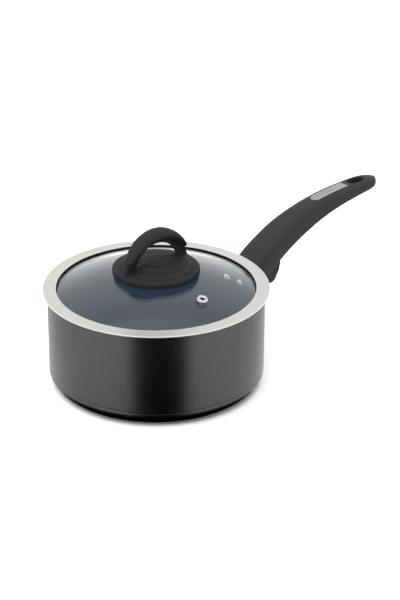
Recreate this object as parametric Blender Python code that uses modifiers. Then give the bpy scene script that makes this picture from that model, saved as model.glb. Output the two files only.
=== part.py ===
"""Saucepan with a glass lid: a pressed pan with a riveted, screwed-on handle, and a lift-off lid.

Metres, +Z up. The origin is the centre of the pan's underside and the handle points along +X.
"""
import math

import bmesh
import bpy
from mathutils import Matrix, Vector

# Driving dimensions ------------------------------------------------------------------------------
TOUCH_GAP = 0.0003              # clearance kept between pieces that touch on the real pan
ROUND_STEPS = 64                # facets round the pan, the lid ring and the glass

PAN_HEIGHT = 0.0842             # underside to rim
PAN_OUTER_RADIUS = 0.0922
WALL_THICKNESS = 0.0022
FLOOR_TOP = 0.0042              # height of the cooking surface
BASE_CORNER = 0.0112            # outer radius between wall and underside
UNDERSIDE_Z = 0.0004            # the pressed body hangs this far above the stove
DISC_RADIUS = 0.0660            # bonded steel disc
DISC_THICKNESS = 0.0012

BAND_OUTER_RADIUS = 0.0960      # lid ring
BAND_INNER_RADIUS = 0.0846
BAND_TOP = 0.0852
BAND_STEEL = 0.0008
SKIRT_RADIUS = 0.0888           # outer radius of the ring's skirt, inside the pan wall
SKIRT_BOTTOM = 0.0760
GLASS_APEX = 0.0997
GLASS_RADIUS = 0.2277           # radius of the dome's outer face
GLASS_THICKNESS = 0.0040
GLASS_EDGE = 0.0864
GLASS_CENTRE_Z = GLASS_APEX - GLASS_RADIUS
VENT_RADIUS = 0.0577            # distance of the steam vent from the lid's centre
VENT_ANGLE = math.radians(-91.0)

KNOB_RADIUS = 0.0370
KNOB_RIM_BOTTOM = 0.0984
KNOB_RIM_TOP = 0.1026
KNOB_CROWN = 0.1096             # top of the knob's disc, under the finger gap
ARCH_RADIUS = 0.0364            # outer face of the arch under the grip
ARCH_CENTRE_Z = 0.09335
WINDOW_RADIUS = 0.0236          # finger gap
WINDOW_CENTRE_Z = 0.1007
GRIP_RADIUS = 0.0325            # outer face of the soft grip
GRIP_CENTRE_Z = 0.1045
GRIP_HALF_ANGLE = math.radians(58.5)   # reach of the grip each way from the arch's top
GRIP_HALF_WIDTH = 0.0080
KNOB_SEAT = GLASS_APEX + 0.0014   # underside of the knob's boss
KNOB_CLEARANCE = 0.0013         # air between the knob's underside and the glass
SEAT_RADIUS = 0.0110            # flat pocket for the seat gasket
INSERT_RADIUS = 0.0040
INSERT_TOP = 0.1080

RIVET_Z = 0.0600
RIVET_ANGLE = math.radians(5.3)
RIVET_SHANK = 0.0025
RIVET_HEAD = 0.0052
RIVET_RISE = 0.0025              # height of the domed head
BRACKET_INNER = PAN_OUTER_RADIUS + TOUCH_GAP
BRACKET_OUTER = BRACKET_INNER + 0.0025

# Handle stations: distance from the pan's axis, height of the centre line, half width, half height
HANDLE_STATIONS = (
    (0.1120, 0.0665, 0.0164, 0.0115),
    (0.1250, 0.0757, 0.0156, 0.0121),
    (0.1500, 0.0893, 0.0144, 0.0123),
    (0.1800, 0.0998, 0.0136, 0.0104),
    (0.2100, 0.1060, 0.0131, 0.0082),
    (0.2400, 0.1089, 0.0119, 0.0067),
    (0.2560, 0.1095, 0.0109, 0.0060),
    (0.2700, 0.1092, 0.0104, 0.0054),
)
HANDLE_ROUND_FROM = 0.2525      # the rounded end starts here
HANDLE_END = 0.2698
HANDLE_SQUARENESS = 2.6         # exponent of the superellipse section
HANG_HOLE_X = 0.2454
HANG_HOLE_HALF = (0.0094, 0.0050)
BADGE_FROM = 0.1892
BADGE_TO = 0.2300
BADGE_HALF_WIDTH = 0.0048
BADGE_THICKNESS = 0.0008
BADGE_CLEARANCE = 0.00035       # room round the badge in its seat
TONGUE_END = 0.1600
TONGUE_HALF = (0.0060, 0.0025)
SCREW_X = 0.1500
SCREW_HEAD_DEPTH = 0.0058       # depth of the counterbore for the handle screw's head

# Scene -------------------------------------------------------------------------------------------
for old in list(bpy.data.objects):
    bpy.data.objects.remove(old, do_unlink=True)

parts = bpy.data.collections.new("saucepan_with_glass_lid")
cutters = bpy.data.collections.new("cutters")
bpy.context.scene.collection.children.link(parts)
bpy.context.scene.collection.children.link(cutters)


def material(name, colour, roughness, metallic=0.0):
    made = bpy.data.materials.new(name)
    made.use_nodes = True
    shader = made.node_tree.nodes["Principled BSDF"]
    shader.inputs["Base Color"].default_value = (*colour, 1.0)
    shader.inputs["Roughness"].default_value = roughness
    shader.inputs["Metallic"].default_value = metallic
    return made


COATED_ALUMINIUM = material("coated_aluminium", (0.060, 0.055, 0.052), 0.35, 0.6)
BASE_STEEL = material("base_steel", (0.45, 0.45, 0.45), 0.40, 1.0)
BRACKET_BLACK = material("bracket_black", (0.015, 0.015, 0.015), 0.50)
BRIGHT_STEEL = material("bright_steel", (0.75, 0.75, 0.74), 0.20, 1.0)
BRUSHED_STEEL = material("brushed_steel", (0.68, 0.67, 0.64), 0.35, 1.0)
BLACK_PHENOLIC = material("black_phenolic", (0.028, 0.028, 0.030), 0.55)
SOFT_BLACK = material("soft_black", (0.026, 0.026, 0.028), 0.62)
TEMPERED_GLASS = material("tempered_glass", (0.80, 0.88, 0.92), 0.05)
BLACK_RUBBER = material("black_rubber", (0.012, 0.012, 0.012), 0.70)
CLEAR_SILICONE = material("clear_silicone", (0.60, 0.60, 0.58), 0.45)
BRASS = material("brass", (0.62, 0.46, 0.20), 0.35, 1.0)


def add_object(name, mesh, finish):
    """An object in the parts collection, or a hidden cutter when it has no finish."""
    obj = bpy.data.objects.new(name, mesh)
    if finish is None:
        cutters.objects.link(obj)
        obj.hide_render = True
        obj.display_type = "WIRE"
    else:
        parts.objects.link(obj)
        mesh.materials.append(finish)
        if mesh.polygons:
            mesh.shade_smooth()
            mesh.set_sharp_from_angle(angle=math.radians(35.0))
    return obj


def arc(centre_x, centre_z, radius, start, end, steps):
    """Points on an arc in the XZ plane; angles in degrees from +X towards +Z, both ends included."""
    points = []
    for step in range(steps + 1):
        angle = math.radians(start + (end - start) * step / steps)
        points.append((centre_x + radius * math.cos(angle), centre_z + radius * math.sin(angle)))
    return points


def turned(name, profile, finish, closed=False, steps=ROUND_STEPS):
    """A solid of revolution about Z; the profile runs down its outer side."""
    mesh = bpy.data.meshes.new(name)
    edges = [(i, i + 1) for i in range(len(profile) - 1)]
    if closed:
        edges.append((len(profile) - 1, 0))
    mesh.from_pydata([(x, 0.0, z) for x, z in profile], edges, [])
    obj = add_object(name, mesh, finish)
    screw = obj.modifiers.new("turn", "SCREW")
    screw.axis = "Z"
    screw.steps = steps
    screw.render_steps = steps
    screw.use_merge_vertices = True
    screw.merge_threshold = 0.00001
    screw.use_smooth_shade = True
    return obj


def boolean(target, other, operation="DIFFERENCE"):
    cut = target.modifiers.new(operation.lower() + "_" + other.name, "BOOLEAN")
    cut.operation = operation
    cut.object = other
    cut.solver = "EXACT"


def loft(name, rings, finish):
    """A closed skin over rings of points, all with the same number of points."""
    mesh = bpy.data.meshes.new(name)
    bm = bmesh.new()
    rows = [[bm.verts.new(point) for point in ring] for ring in rings]
    count = len(rings[0])
    for low, high in zip(rows, rows[1:]):
        for i in range(count):
            j = (i + 1) % count
            bm.faces.new((low[i], low[j], high[j], high[i]))
    bm.faces.new(list(reversed(rows[0])))
    bm.faces.new(rows[-1])
    bmesh.ops.recalc_face_normals(bm, faces=bm.faces)
    bm.to_mesh(mesh)
    bm.free()
    return add_object(name, mesh, finish)


def cut_cylinder(name, radius, start, end, steps=20, squash=1.0):
    """A cutter between two points; squash narrows it along Y."""
    axis = Vector(end) - Vector(start)
    bm = bmesh.new()
    bmesh.ops.create_cone(bm, cap_ends=True, segments=steps, radius1=radius, radius2=radius,
                          depth=axis.length)
    turn = axis.to_track_quat("Z", "Y").to_matrix().to_4x4()
    place = Matrix.Translation((Vector(start) + Vector(end)) / 2) @ turn
    bmesh.ops.transform(bm, matrix=place, verts=bm.verts)
    bmesh.ops.scale(bm, vec=(1.0, squash, 1.0), verts=bm.verts)
    mesh = bpy.data.meshes.new(name)
    bm.to_mesh(mesh)
    bm.free()
    return add_object(name, mesh, None)


# Pan body ----------------------------------------------------------------------------------------
def make_pan_body():
    """Pressed aluminium, turned: floor, rounded corner, straight wall and a rounded rim."""
    inner = PAN_OUTER_RADIUS - WALL_THICKNESS
    corner = BASE_CORNER - WALL_THICKNESS
    lip = WALL_THICKNESS / 2
    recess = DISC_RADIUS + TOUCH_GAP
    profile = [(0.0, FLOOR_TOP)]
    profile += arc(inner - corner, FLOOR_TOP + corner, corner, -90, 0, 6)
    profile += arc(inner + lip, PAN_HEIGHT - lip, lip, 180, 0, 4)
    profile += arc(PAN_OUTER_RADIUS - BASE_CORNER, UNDERSIDE_Z + BASE_CORNER, BASE_CORNER, 0, -90, 7)
    profile += [(recess, UNDERSIDE_Z), (recess, DISC_THICKNESS + TOUCH_GAP)]
    profile += [(0.0, DISC_THICKNESS + TOUCH_GAP)]
    return turned("pan_body", profile, COATED_ALUMINIUM)


def make_base_disc():
    """Magnetic steel disc bonded in the underside; the pan stands on its lower face."""
    chamfer = 0.0004
    profile = [(0.0, DISC_THICKNESS), (DISC_RADIUS, DISC_THICKNESS), (DISC_RADIUS, chamfer)]
    profile += [(DISC_RADIUS - chamfer, 0.0), (0.0, 0.0)]
    return turned("base_disc", profile, BASE_STEEL)


def radial(distance, angle, height):
    return Vector((distance * math.cos(angle), distance * math.sin(angle), height))


def make_rivet(name, angle):
    """A solid rivet: domed head inside the pan, formed tail on the bracket."""
    clear_of_curve = 0.0005
    inside = PAN_OUTER_RADIUS - WALL_THICKNESS - clear_of_curve
    tail_start = BRACKET_OUTER + TOUCH_GAP
    tail_end = tail_start + 0.0018
    tail_radius = 0.0036
    ball = (RIVET_HEAD ** 2 + RIVET_RISE ** 2) / (2 * RIVET_RISE)
    sweep = math.degrees(math.asin(RIVET_HEAD / ball))
    dome = arc(0.0, RIVET_RISE - ball, ball, 90, 90 - sweep, 6)
    shank_end = inside - tail_start
    dome += [(RIVET_SHANK, 0.0), (RIVET_SHANK, shank_end), (tail_radius, shank_end)]
    dome += [(tail_radius * 0.8, inside - tail_end), (0.0, inside - tail_end)]
    rivet = turned(name, dome, BRIGHT_STEEL, steps=20)
    towards_centre = -radial(1.0, angle, 0.0)
    rivet.location = radial(inside, angle, RIVET_Z)
    rivet.rotation_euler = towards_centre.to_track_quat("Z", "Y").to_euler()
    return rivet


# Handle centre line ------------------------------------------------------------------------------
def handle_value(x, column):
    """One column of HANDLE_STATIONS at distance x, by a cubic through the stations."""
    rows = HANDLE_STATIONS
    last = len(rows) - 2
    i = max(0, min(last, sum(1 for row in rows if row[0] <= x) - 1))

    def slope(k):
        low, high = max(k - 1, 0), min(k + 1, len(rows) - 1)
        return (rows[high][column] - rows[low][column]) / (rows[high][0] - rows[low][0])

    width = rows[i + 1][0] - rows[i][0]
    t = (x - rows[i][0]) / width
    start, end = rows[i][column], rows[i + 1][column]
    lift = (2 * t ** 3 - 3 * t ** 2 + 1) * start + (3 * t ** 2 - 2 * t ** 3) * end
    return lift + width * ((t ** 3 - 2 * t ** 2 + t) * slope(i) + (t ** 3 - t ** 2) * slope(i + 1))


def handle_frame(x):
    """Point on the handle's centre line, its direction, and the direction square to it, upwards."""
    step = 0.0005
    rise = (handle_value(x + step, 1) - handle_value(x - step, 1)) / (2 * step)
    along = Vector((1.0, 0.0, rise)).normalized()
    return Vector((x, 0.0, handle_value(x, 1))), along, Vector((-along.z, 0.0, along.x))


def oval_section(x, half_width, half_height, count=24):
    """A superellipse ring square to the handle's centre line."""
    centre, _, up = handle_frame(x)
    power = 2.0 / HANDLE_SQUARENESS
    ring = []
    for i in range(count):
        angle = 2 * math.pi * i / count
        side = math.copysign(abs(math.cos(angle)) ** power, math.cos(angle))
        high = math.copysign(abs(math.sin(angle)) ** power, math.sin(angle))
        ring.append(centre + Vector((0.0, half_width * side, 0.0)) + up * (half_height * high))
    return ring


def flat_section(x, half_width, low, high):
    """A rectangle square to the handle's centre line, between two heights above it."""
    centre, _, up = handle_frame(x)
    corners = ((-half_width, low), (half_width, low), (half_width, high), (-half_width, high))
    return [centre + Vector((0.0, side, 0.0)) + up * height for side, height in corners]


def end_taper(x):
    """How far the handle's outline has closed in its rounded end, from 1 to nearly 0."""
    if x <= HANDLE_ROUND_FROM:
        return 1.0
    t = (x - HANDLE_ROUND_FROM) / (HANDLE_END - HANDLE_ROUND_FROM)
    return math.sqrt(max(1.0 - t * t, 0.01))


def make_handle_grip():
    """Moulded phenolic handle: curved grip, finger guard, socket, screw hole, hang hole, badge seat."""
    root = HANDLE_STATIONS[0][0]
    body_steps = 15
    xs = [root + (HANDLE_ROUND_FROM - root) * i / body_steps for i in range(body_steps + 1)]
    end_length = HANDLE_END - HANDLE_ROUND_FROM
    xs += [HANDLE_ROUND_FROM + end_length * part for part in (0.35, 0.62, 0.82, 0.95, 1.0)]
    root_round = 0.0020
    wide, tall = handle_value(root, 2), handle_value(root, 3)
    rings = [oval_section(root - root_round, wide - root_round, tall - root_round)]
    for x in xs:
        taper = end_taper(x)
        height_taper = 0.55 + 0.45 * taper
        rings.append(oval_section(x, handle_value(x, 2) * taper, handle_value(x, 3) * height_taper))
    grip = loft("handle_grip", rings, BLACK_PHENOLIC)
    boolean(grip, make_finger_guard(), "UNION")
    mouth_wide, mouth_tall, mouth_end = 0.0122, 0.0078, 0.1260
    tongue_clear = 0.0004
    wide, tall = (half + tongue_clear for half in TONGUE_HALF)
    sockets = [flat_section(x, mouth_wide, -mouth_tall, mouth_tall) for x in (root - 0.0050, mouth_end)]
    tongue_room = (mouth_end + 0.0002, 0.1350, 0.1450, TONGUE_END + 0.0010)
    sockets += [flat_section(x, wide, -tall, tall) for x in tongue_room]
    boolean(grip, loft("cut_socket", sockets, None))
    centre, _, up = handle_frame(HANG_HOLE_X)
    half_long, half_wide = HANG_HOLE_HALF
    through = up * 0.02
    hole = cut_cylinder("cut_hang_hole", half_long, centre - through, centre + through, 24,
                        squash=half_wide / half_long)
    boolean(grip, hole)
    boolean(grip, badge_plate("cut_badge_seat", None, BADGE_CLEARANCE, 0.0))
    centre, _, up = handle_frame(SCREW_X)
    seat = SCREW_HEAD_DEPTH - handle_value(SCREW_X, 3)
    outside = seat - SCREW_HEAD_DEPTH - 0.004
    shank_hole, head_hole = 0.0029, 0.0052
    steps_down = [(0.0, 0.0), (shank_hole, 0.0), (shank_hole, seat), (head_hole, seat)]
    steps_down += [(head_hole, outside), (0.0, outside)]
    screw_hole = turned("cut_screw_hole", steps_down, None, steps=20)
    place_along(screw_hole, centre, up)
    boolean(grip, screw_hole)
    return grip


def make_finger_guard():
    """The lobe under the handle's root that keeps fingers off the pan: a flat outline, edges rounded."""
    outline = [(0.1150, 0.0680), (0.1195, 0.0570)]
    outline += arc(0.1282, 0.0577, 0.0078, 200, 340, 6)
    outline += [(0.1388, 0.0600), (0.1401, 0.0670), (0.1400, 0.0760), (0.1250, 0.0760)]
    half_width, edge = 0.0100, 0.0022
    bm = bmesh.new()
    face = bm.faces.new([bm.verts.new((x, half_width, z)) for x, z in outline])
    pushed = bmesh.ops.extrude_face_region(bm, geom=[face])
    moved = [item for item in pushed["geom"] if isinstance(item, bmesh.types.BMVert)]
    bmesh.ops.translate(bm, vec=(0.0, -2 * half_width, 0.0), verts=moved)
    rims = [e for e in bm.edges if abs(e.verts[0].co.y - e.verts[1].co.y) < 1e-6]
    bmesh.ops.bevel(bm, geom=rims, offset=edge, affect="EDGES", segments=2, profile=0.5, material=-1)
    bmesh.ops.recalc_face_normals(bm, faces=bm.faces)
    mesh = bpy.data.meshes.new("finger_guard")
    bm.to_mesh(mesh)
    bm.free()
    return add_object("finger_guard", mesh, None)


def badge_plate(name, finish, grow, lift):
    """A plate along the top of the handle: round at the pan end and square at the other.

    With no finish it is the cutter for the badge's seat, open upwards.
    """
    start, end = BADGE_FROM - grow, BADGE_TO + grow
    half = BADGE_HALF_WIDTH + grow
    length = end - start
    parts_of_end = (0.02, 0.15, 0.45, 1.0)
    rings = []
    xs = [start + half * part for part in parts_of_end]
    xs += [start + half + (length - half) * part for part in (0.25, 0.5, 0.75, 1.0)]
    for x in xs:
        t = min((x - start) / half, 1.0)
        width = half * math.sqrt(1.0 - (1.0 - t) ** 2)
        surface = handle_value(x, 3)
        floor = surface - BADGE_THICKNESS
        top = surface + lift
        if finish is None:
            floor -= TOUCH_GAP
            top = surface + 0.004
        rings.append(flat_section(x, width, floor, top))
    return loft(name, rings, finish)


def make_handle_bracket():
    """Cast bracket: a curved pad riveted to the wall, a web between the rivets, and a tongue."""
    pad_half_angle = math.radians(11.0)
    pad_low, pad_high = 0.0480, 0.0725
    bm = bmesh.new()
    start = Matrix.Rotation(-pad_half_angle, 3, "Z")
    corners = ((BRACKET_INNER, pad_low), (BRACKET_OUTER, pad_low),
               (BRACKET_OUTER, pad_high), (BRACKET_INNER, pad_high))
    verts = [bm.verts.new(start @ Vector((x, 0.0, z))) for x, z in corners]
    face = bm.faces.new(verts)
    bmesh.ops.spin(bm, geom=[face, *face.edges, *face.verts], axis=(0, 0, 1), cent=(0, 0, 0),
                   angle=2 * pad_half_angle, steps=10, use_duplicate=False)
    bmesh.ops.recalc_face_normals(bm, faces=bm.faces)
    mesh = bpy.data.meshes.new("handle_bracket")
    bm.to_mesh(mesh)
    bm.free()
    pad = add_object("handle_bracket", mesh, BRACKET_BLACK)

    web_half, web_tall = 0.0044, 0.0095
    rings = []
    web = ((BRACKET_INNER + 0.0010, 0.0620), (0.0985, 0.0615))
    for x, z in web:
        rings.append([Vector((x, side, z + height)) for side, height in
                      ((-web_half, -web_tall), (web_half, -web_tall), (web_half, web_tall),
                       (-web_half, web_tall))])
    wide, thick = TONGUE_HALF
    for x in (0.1070, 0.1150, 0.1250, 0.1350, 0.1450, TONGUE_END):
        rings.append(flat_section(x, wide, -thick, thick))
    boolean(pad, loft("bracket_tongue", rings, None), "UNION")
    for name, angle in (("left", RIVET_ANGLE), ("right", -RIVET_ANGLE)):
        boolean(pad, rivet_hole("cut_pad_" + name, angle))
    centre, _, up = handle_frame(SCREW_X)
    through = up * 0.01
    boolean(pad, cut_cylinder("cut_tongue_thread", 0.0026, centre - through, centre + through))
    return pad


def rivet_hole(name, angle):
    return cut_cylinder(name, RIVET_SHANK + TOUCH_GAP, radial(0.0860, angle, RIVET_Z),
                        radial(0.0985, angle, RIVET_Z))


def screw(name, shank, length, head, head_height, finish):
    """A pan-head screw standing on its head's underside, with its shank along +Z."""
    profile = [(0.0, length), (shank - 0.0004, length), (shank, length - 0.0004), (shank, 0.0)]
    profile += [(head, 0.0), (head, -head_height * 0.55), (head * 0.78, -head_height)]
    profile += [(head * 0.30, -head_height), (head * 0.22, -head_height * 0.45)]
    profile += [(0.0, -head_height * 0.45)]
    return turned(name, profile, finish, steps=20)


def washer(name, inner, outer, thickness, finish, steps=24):
    """A flat ring with its lower face at z = 0."""
    profile = [(inner, thickness), (outer, thickness), (outer, 0.0), (inner, 0.0)]
    return turned(name, profile, finish, closed=True, steps=steps)


def place_along(obj, origin, direction):
    obj.location = origin
    obj.rotation_euler = direction.to_track_quat("Z", "Y").to_euler()


def make_handle_fasteners():
    """The screw that holds the handle on the tongue, with its spring washer, from below."""
    centre, _, up = handle_frame(SCREW_X)
    seat = centre - up * (handle_value(SCREW_X, 3) - SCREW_HEAD_DEPTH)
    thickness = 0.0010
    spring = washer("handle_screw_washer", 0.0027, 0.0046, thickness, BRIGHT_STEEL)
    place_along(spring, seat - up * (TOUCH_GAP + thickness), up)
    length = handle_value(SCREW_X, 3) - SCREW_HEAD_DEPTH + thickness + TONGUE_HALF[1]
    bolt = screw("handle_screw", 0.0023, length, 0.0042, 0.0026, BRIGHT_STEEL)
    place_along(bolt, seat - up * (2 * TOUCH_GAP + thickness), up)


# Lid ---------------------------------------------------------------------------------------------
def glass_top(radius):
    return GLASS_CENTRE_Z + math.sqrt(GLASS_RADIUS ** 2 - radius ** 2)


def glass_under(radius):
    return GLASS_CENTRE_Z + math.sqrt((GLASS_RADIUS - GLASS_THICKNESS) ** 2 - radius ** 2)


def make_lid_band():
    """Rolled steel ring: a broad flat flange on the pan's rim, a skirt inside it, a shelf for glass."""
    inner_top = BAND_TOP + 0.0003
    under = BAND_TOP - BAND_STEEL
    skirt_in = SKIRT_RADIUS - BAND_STEEL
    profile = [(BAND_INNER_RADIUS, inner_top), (BAND_OUTER_RADIUS - 0.0010, BAND_TOP)]
    profile += arc(BAND_OUTER_RADIUS - 0.0006, BAND_TOP - 0.0006, 0.0006, 70, 0, 2)
    profile += [(BAND_OUTER_RADIUS, BAND_TOP - 0.0016), (BAND_OUTER_RADIUS - 0.0007, BAND_TOP - 0.0016)]
    profile += [(BAND_OUTER_RADIUS - 0.0009, under), (SKIRT_RADIUS, under + 0.0001)]
    profile += [(SKIRT_RADIUS, SKIRT_BOTTOM), (BAND_INNER_RADIUS, SKIRT_BOTTOM)]
    profile += [(BAND_INNER_RADIUS, SKIRT_BOTTOM + BAND_STEEL), (skirt_in, SKIRT_BOTTOM + BAND_STEEL)]
    profile += [(skirt_in, under + 0.0002), (BAND_INNER_RADIUS, inner_top - BAND_STEEL)]
    return turned("lid_band", profile, BRUSHED_STEEL, closed=True)


def make_band_cushion():
    """Black channel round the edge of the glass, inside the ring."""
    outer = SKIRT_RADIUS - BAND_STEEL - TOUCH_GAP
    inner = BAND_INNER_RADIUS
    pocket = GLASS_EDGE + TOUCH_GAP
    top = BAND_TOP - BAND_STEEL - TOUCH_GAP
    bottom = SKIRT_BOTTOM + BAND_STEEL + TOUCH_GAP
    profile = [(inner, top), (outer, top), (outer, bottom), (inner, bottom)]
    profile += [(inner, glass_under(inner) - TOUCH_GAP), (pocket, glass_under(pocket) - TOUCH_GAP)]
    profile += [(pocket, glass_top(pocket) + TOUCH_GAP), (inner, glass_top(inner) + TOUCH_GAP)]
    return turned("lid_band_cushion", profile, BLACK_RUBBER, closed=True)


def make_lid_glass():
    """Tempered glass dome with a centre hole for the knob screw and a hole for the steam vent."""
    hole = 0.0036
    rings = 9
    profile = [(hole, glass_top(hole))]
    for i in range(1, rings + 1):
        radius = hole + (GLASS_EDGE - hole) * i / rings
        profile.append((radius, glass_top(radius)))
    for i in range(rings + 1):
        radius = GLASS_EDGE - (GLASS_EDGE - hole) * i / rings
        profile.append((radius, glass_under(radius)))
    glass = turned("lid_glass", profile, TEMPERED_GLASS, closed=True)
    centre, normal = vent_frame()
    through = normal * 0.01
    boolean(glass, cut_cylinder("cut_vent", 0.0034, centre - through, centre + through))
    return glass


def vent_frame():
    """Where the steam vent meets the outer face of the glass, and the direction square to it."""
    centre = radial(VENT_RADIUS, VENT_ANGLE, glass_top(VENT_RADIUS))
    normal = (centre - Vector((0.0, 0.0, GLASS_CENTRE_Z))).normalized()
    return centre, normal


def make_vent():
    """Steel eyelet rolled through the glass on a silicone ring, with a steel washer underneath."""
    centre, normal = vent_frame()
    seal_thickness = 0.0004
    seal = washer("vent_seal", 0.0033, 0.0043, seal_thickness, CLEAR_SILICONE, 20)
    place_along(seal, centre + normal * TOUCH_GAP, normal)
    ring_thickness = 0.0006
    ring_low = GLASS_THICKNESS + 2 * TOUCH_GAP + ring_thickness
    ring = washer("vent_washer", 0.0033, 0.0041, ring_thickness, BRIGHT_STEEL, 20)
    place_along(ring, centre - normal * ring_low, normal)
    flange = seal_thickness + 2 * TOUCH_GAP
    bore, tube, lip = 0.0019, 0.0030, 0.0049
    tube_low = -ring_low - TOUCH_GAP
    profile = [(bore, flange + 0.0006), (0.0027, flange + 0.0012), (0.0040, flange + 0.0010)]
    profile += [(lip, flange + 0.0004), (lip, flange), (tube, flange), (tube, tube_low)]
    profile += [(0.0040, tube_low), (0.0038, tube_low - 0.0006), (0.0026, tube_low - 0.0008)]
    profile += [(bore, tube_low - 0.0004)]
    eyelet = turned("vent_eyelet", profile, BRIGHT_STEEL, closed=True, steps=20)
    place_along(eyelet, centre, normal)


# Knob --------------------------------------------------------------------------------------------
def on_arc(angle, radius, centre_z, side=0.0):
    """A point on an arc in the XZ plane, moved sideways; the angle is measured from straight up."""
    return Vector((radius * math.sin(angle), side, centre_z + radius * math.cos(angle)))


def make_knob_base():
    """Moulded disc with a stepped crown, carrying an arch that tapers to its feet and to its window."""
    profile = [(0.0, KNOB_CROWN), (0.0140, KNOB_CROWN - 0.0004), (0.0145, KNOB_CROWN - 0.0010)]
    profile += [(0.0245, 0.1076), (0.0250, 0.1071), (0.0315, 0.1050), (0.0319, 0.1045)]
    profile += [(KNOB_RADIUS - 0.0010, KNOB_RIM_TOP + 0.0004), (KNOB_RADIUS, KNOB_RIM_TOP - 0.0006)]
    profile += [(KNOB_RADIUS, KNOB_RIM_BOTTOM)]
    for radius in (KNOB_RADIUS - 0.0030, 0.0250, 0.0160, SEAT_RADIUS):
        profile.append((radius, glass_top(radius) + KNOB_CLEARANCE))
    insert_wall = INSERT_RADIUS + TOUCH_GAP
    profile += [(SEAT_RADIUS, KNOB_SEAT), (insert_wall, KNOB_SEAT), (insert_wall, INSERT_TOP)]
    profile += [(0.0, INSERT_TOP)]
    base = turned("knob_base", profile, BLACK_PHENOLIC, steps=48)

    foot = math.radians(79.5)
    window_foot = math.radians(86.0)
    widest, narrowest, narrow_from = 0.0062, 0.0010, 0.90
    window_edge, waist_depth = 0.0010, 0.42
    waist_share, rounded_share = 0.30, 0.90
    edge_depth = 0.0014
    steps = 18
    rings = []
    for i in range(steps + 1):
        share = 2 * i / steps - 1
        half = max(widest * (1.0 - (abs(share) / narrow_from) ** 2.4), narrowest)
        outer = on_arc(foot * share, ARCH_RADIUS, ARCH_CENTRE_Z)
        inner = on_arc(window_foot * share, WINDOW_RADIUS, WINDOW_CENTRE_Z)
        depth = (outer - inner).length
        waist = window_edge + waist_share * (half - narrowest)
        side_line = ((half, 0.0), (half * rounded_share, edge_depth / depth), (waist, waist_depth),
                     (window_edge, 1.0))
        line = [(outer.lerp(inner, sunk), side) for side, sunk in side_line]
        rings.append([point + Vector((0.0, side, 0.0)) for point, side in line]
                     + [point - Vector((0.0, side, 0.0)) for point, side in reversed(line)])
    boolean(base, loft("knob_arch", rings, None), "UNION")
    return base


def make_knob_grip():
    """Soft grip moulded over the arch: a crescent, broad in the middle, with blunt ends standing proud."""
    rings = []
    shares = [0.0, 0.14, 0.28, 0.42, 0.56, 0.70, 0.82, 0.91, 0.96, 0.99, 1.0]
    shares = [-share for share in reversed(shares[1:])] + shares
    end_proud = 0.0022
    end_from = 0.91
    narrowing, blunt_width, blunt_height = 0.88, 0.94, 0.55
    base_radius = ARCH_RADIUS + TOUCH_GAP
    drop = GRIP_CENTRE_Z - ARCH_CENTRE_Z
    outline = ((-0.94, 0.0), (0.94, 0.0), (1.0, 0.30), (0.86, 0.66), (0.48, 0.93), (0.0, 1.0),
               (-0.48, 0.93), (-0.86, 0.66), (-1.0, 0.30))
    for share in shares:
        angle = GRIP_HALF_ANGLE * share
        # distance from the arch's centre to the grip's outer circle
        reach = drop * math.cos(angle) + math.sqrt(GRIP_RADIUS ** 2 - (drop * math.sin(angle)) ** 2)
        thick = reach - base_radius + end_proud * share ** 4
        half = GRIP_HALF_WIDTH * math.sqrt(1.0 - (narrowing * share) ** 2)
        if abs(share) > end_from:
            into_end = (abs(share) - end_from) / (1.0 - end_from)
            closing = math.sqrt(1.0 - blunt_width * into_end ** 2)
            half *= closing
            thick *= 1.0 - blunt_height * (1.0 - closing)
        rings.append([on_arc(angle, base_radius + thick * up, ARCH_CENTRE_Z, half * side)
                      for side, up in outline])
    return loft("knob_grip", rings, SOFT_BLACK)


def make_knob_fasteners():
    """Insert moulded in the knob, and the screw, washer and gaskets that clamp it through the glass."""
    glass_low = glass_under(0.0)
    insert = washer("knob_insert", 0.0025, INSERT_RADIUS, INSERT_TOP - TOUCH_GAP - KNOB_SEAT, BRASS)
    insert.location.z = KNOB_SEAT
    seat = washer("knob_seat_gasket", 0.0050, SEAT_RADIUS - 0.0006,
                  KNOB_SEAT - GLASS_APEX - 2 * TOUCH_GAP, CLEAR_SILICONE)
    seat.location.z = GLASS_APEX + TOUCH_GAP
    gasket_thickness = 0.0010
    gasket_radius = 0.0070
    sag = glass_low - glass_under(gasket_radius)
    gasket_low = glass_low - sag - TOUCH_GAP - gasket_thickness
    gasket = washer("knob_gasket", 0.0026, gasket_radius, gasket_thickness, CLEAR_SILICONE)
    gasket.location.z = gasket_low
    plate_thickness = 0.0010
    plate = washer("knob_screw_washer", 0.0026, 0.0064, plate_thickness, BRIGHT_STEEL)
    plate.location.z = gasket_low - TOUCH_GAP - plate_thickness
    head_z = plate.location.z - TOUCH_GAP
    bolt = screw("knob_screw", 0.0022, INSERT_TOP - 0.0012 - head_z, 0.0044, 0.0026, BRIGHT_STEEL)
    bolt.location.z = head_z


# Assembly ----------------------------------------------------------------------------------------
pan_body = make_pan_body()
make_base_disc()
for side_name, side_angle in (("left", RIVET_ANGLE), ("right", -RIVET_ANGLE)):
    boolean(pan_body, rivet_hole("cut_wall_" + side_name, side_angle))
    make_rivet("bracket_rivet_" + side_name, side_angle)
make_handle_bracket()
make_handle_grip()
badge_plate("handle_badge", BRUSHED_STEEL, 0.0, 0.0001)
make_handle_fasteners()
make_lid_band()
make_band_cushion()
make_lid_glass()
make_vent()
make_knob_base()
make_knob_grip()
make_knob_fasteners()
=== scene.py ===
"""Looks of a saucepan with a lift-off glass lid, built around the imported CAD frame."""
import math

import bmesh
import bpy
from mathutils import Matrix, Vector


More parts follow.
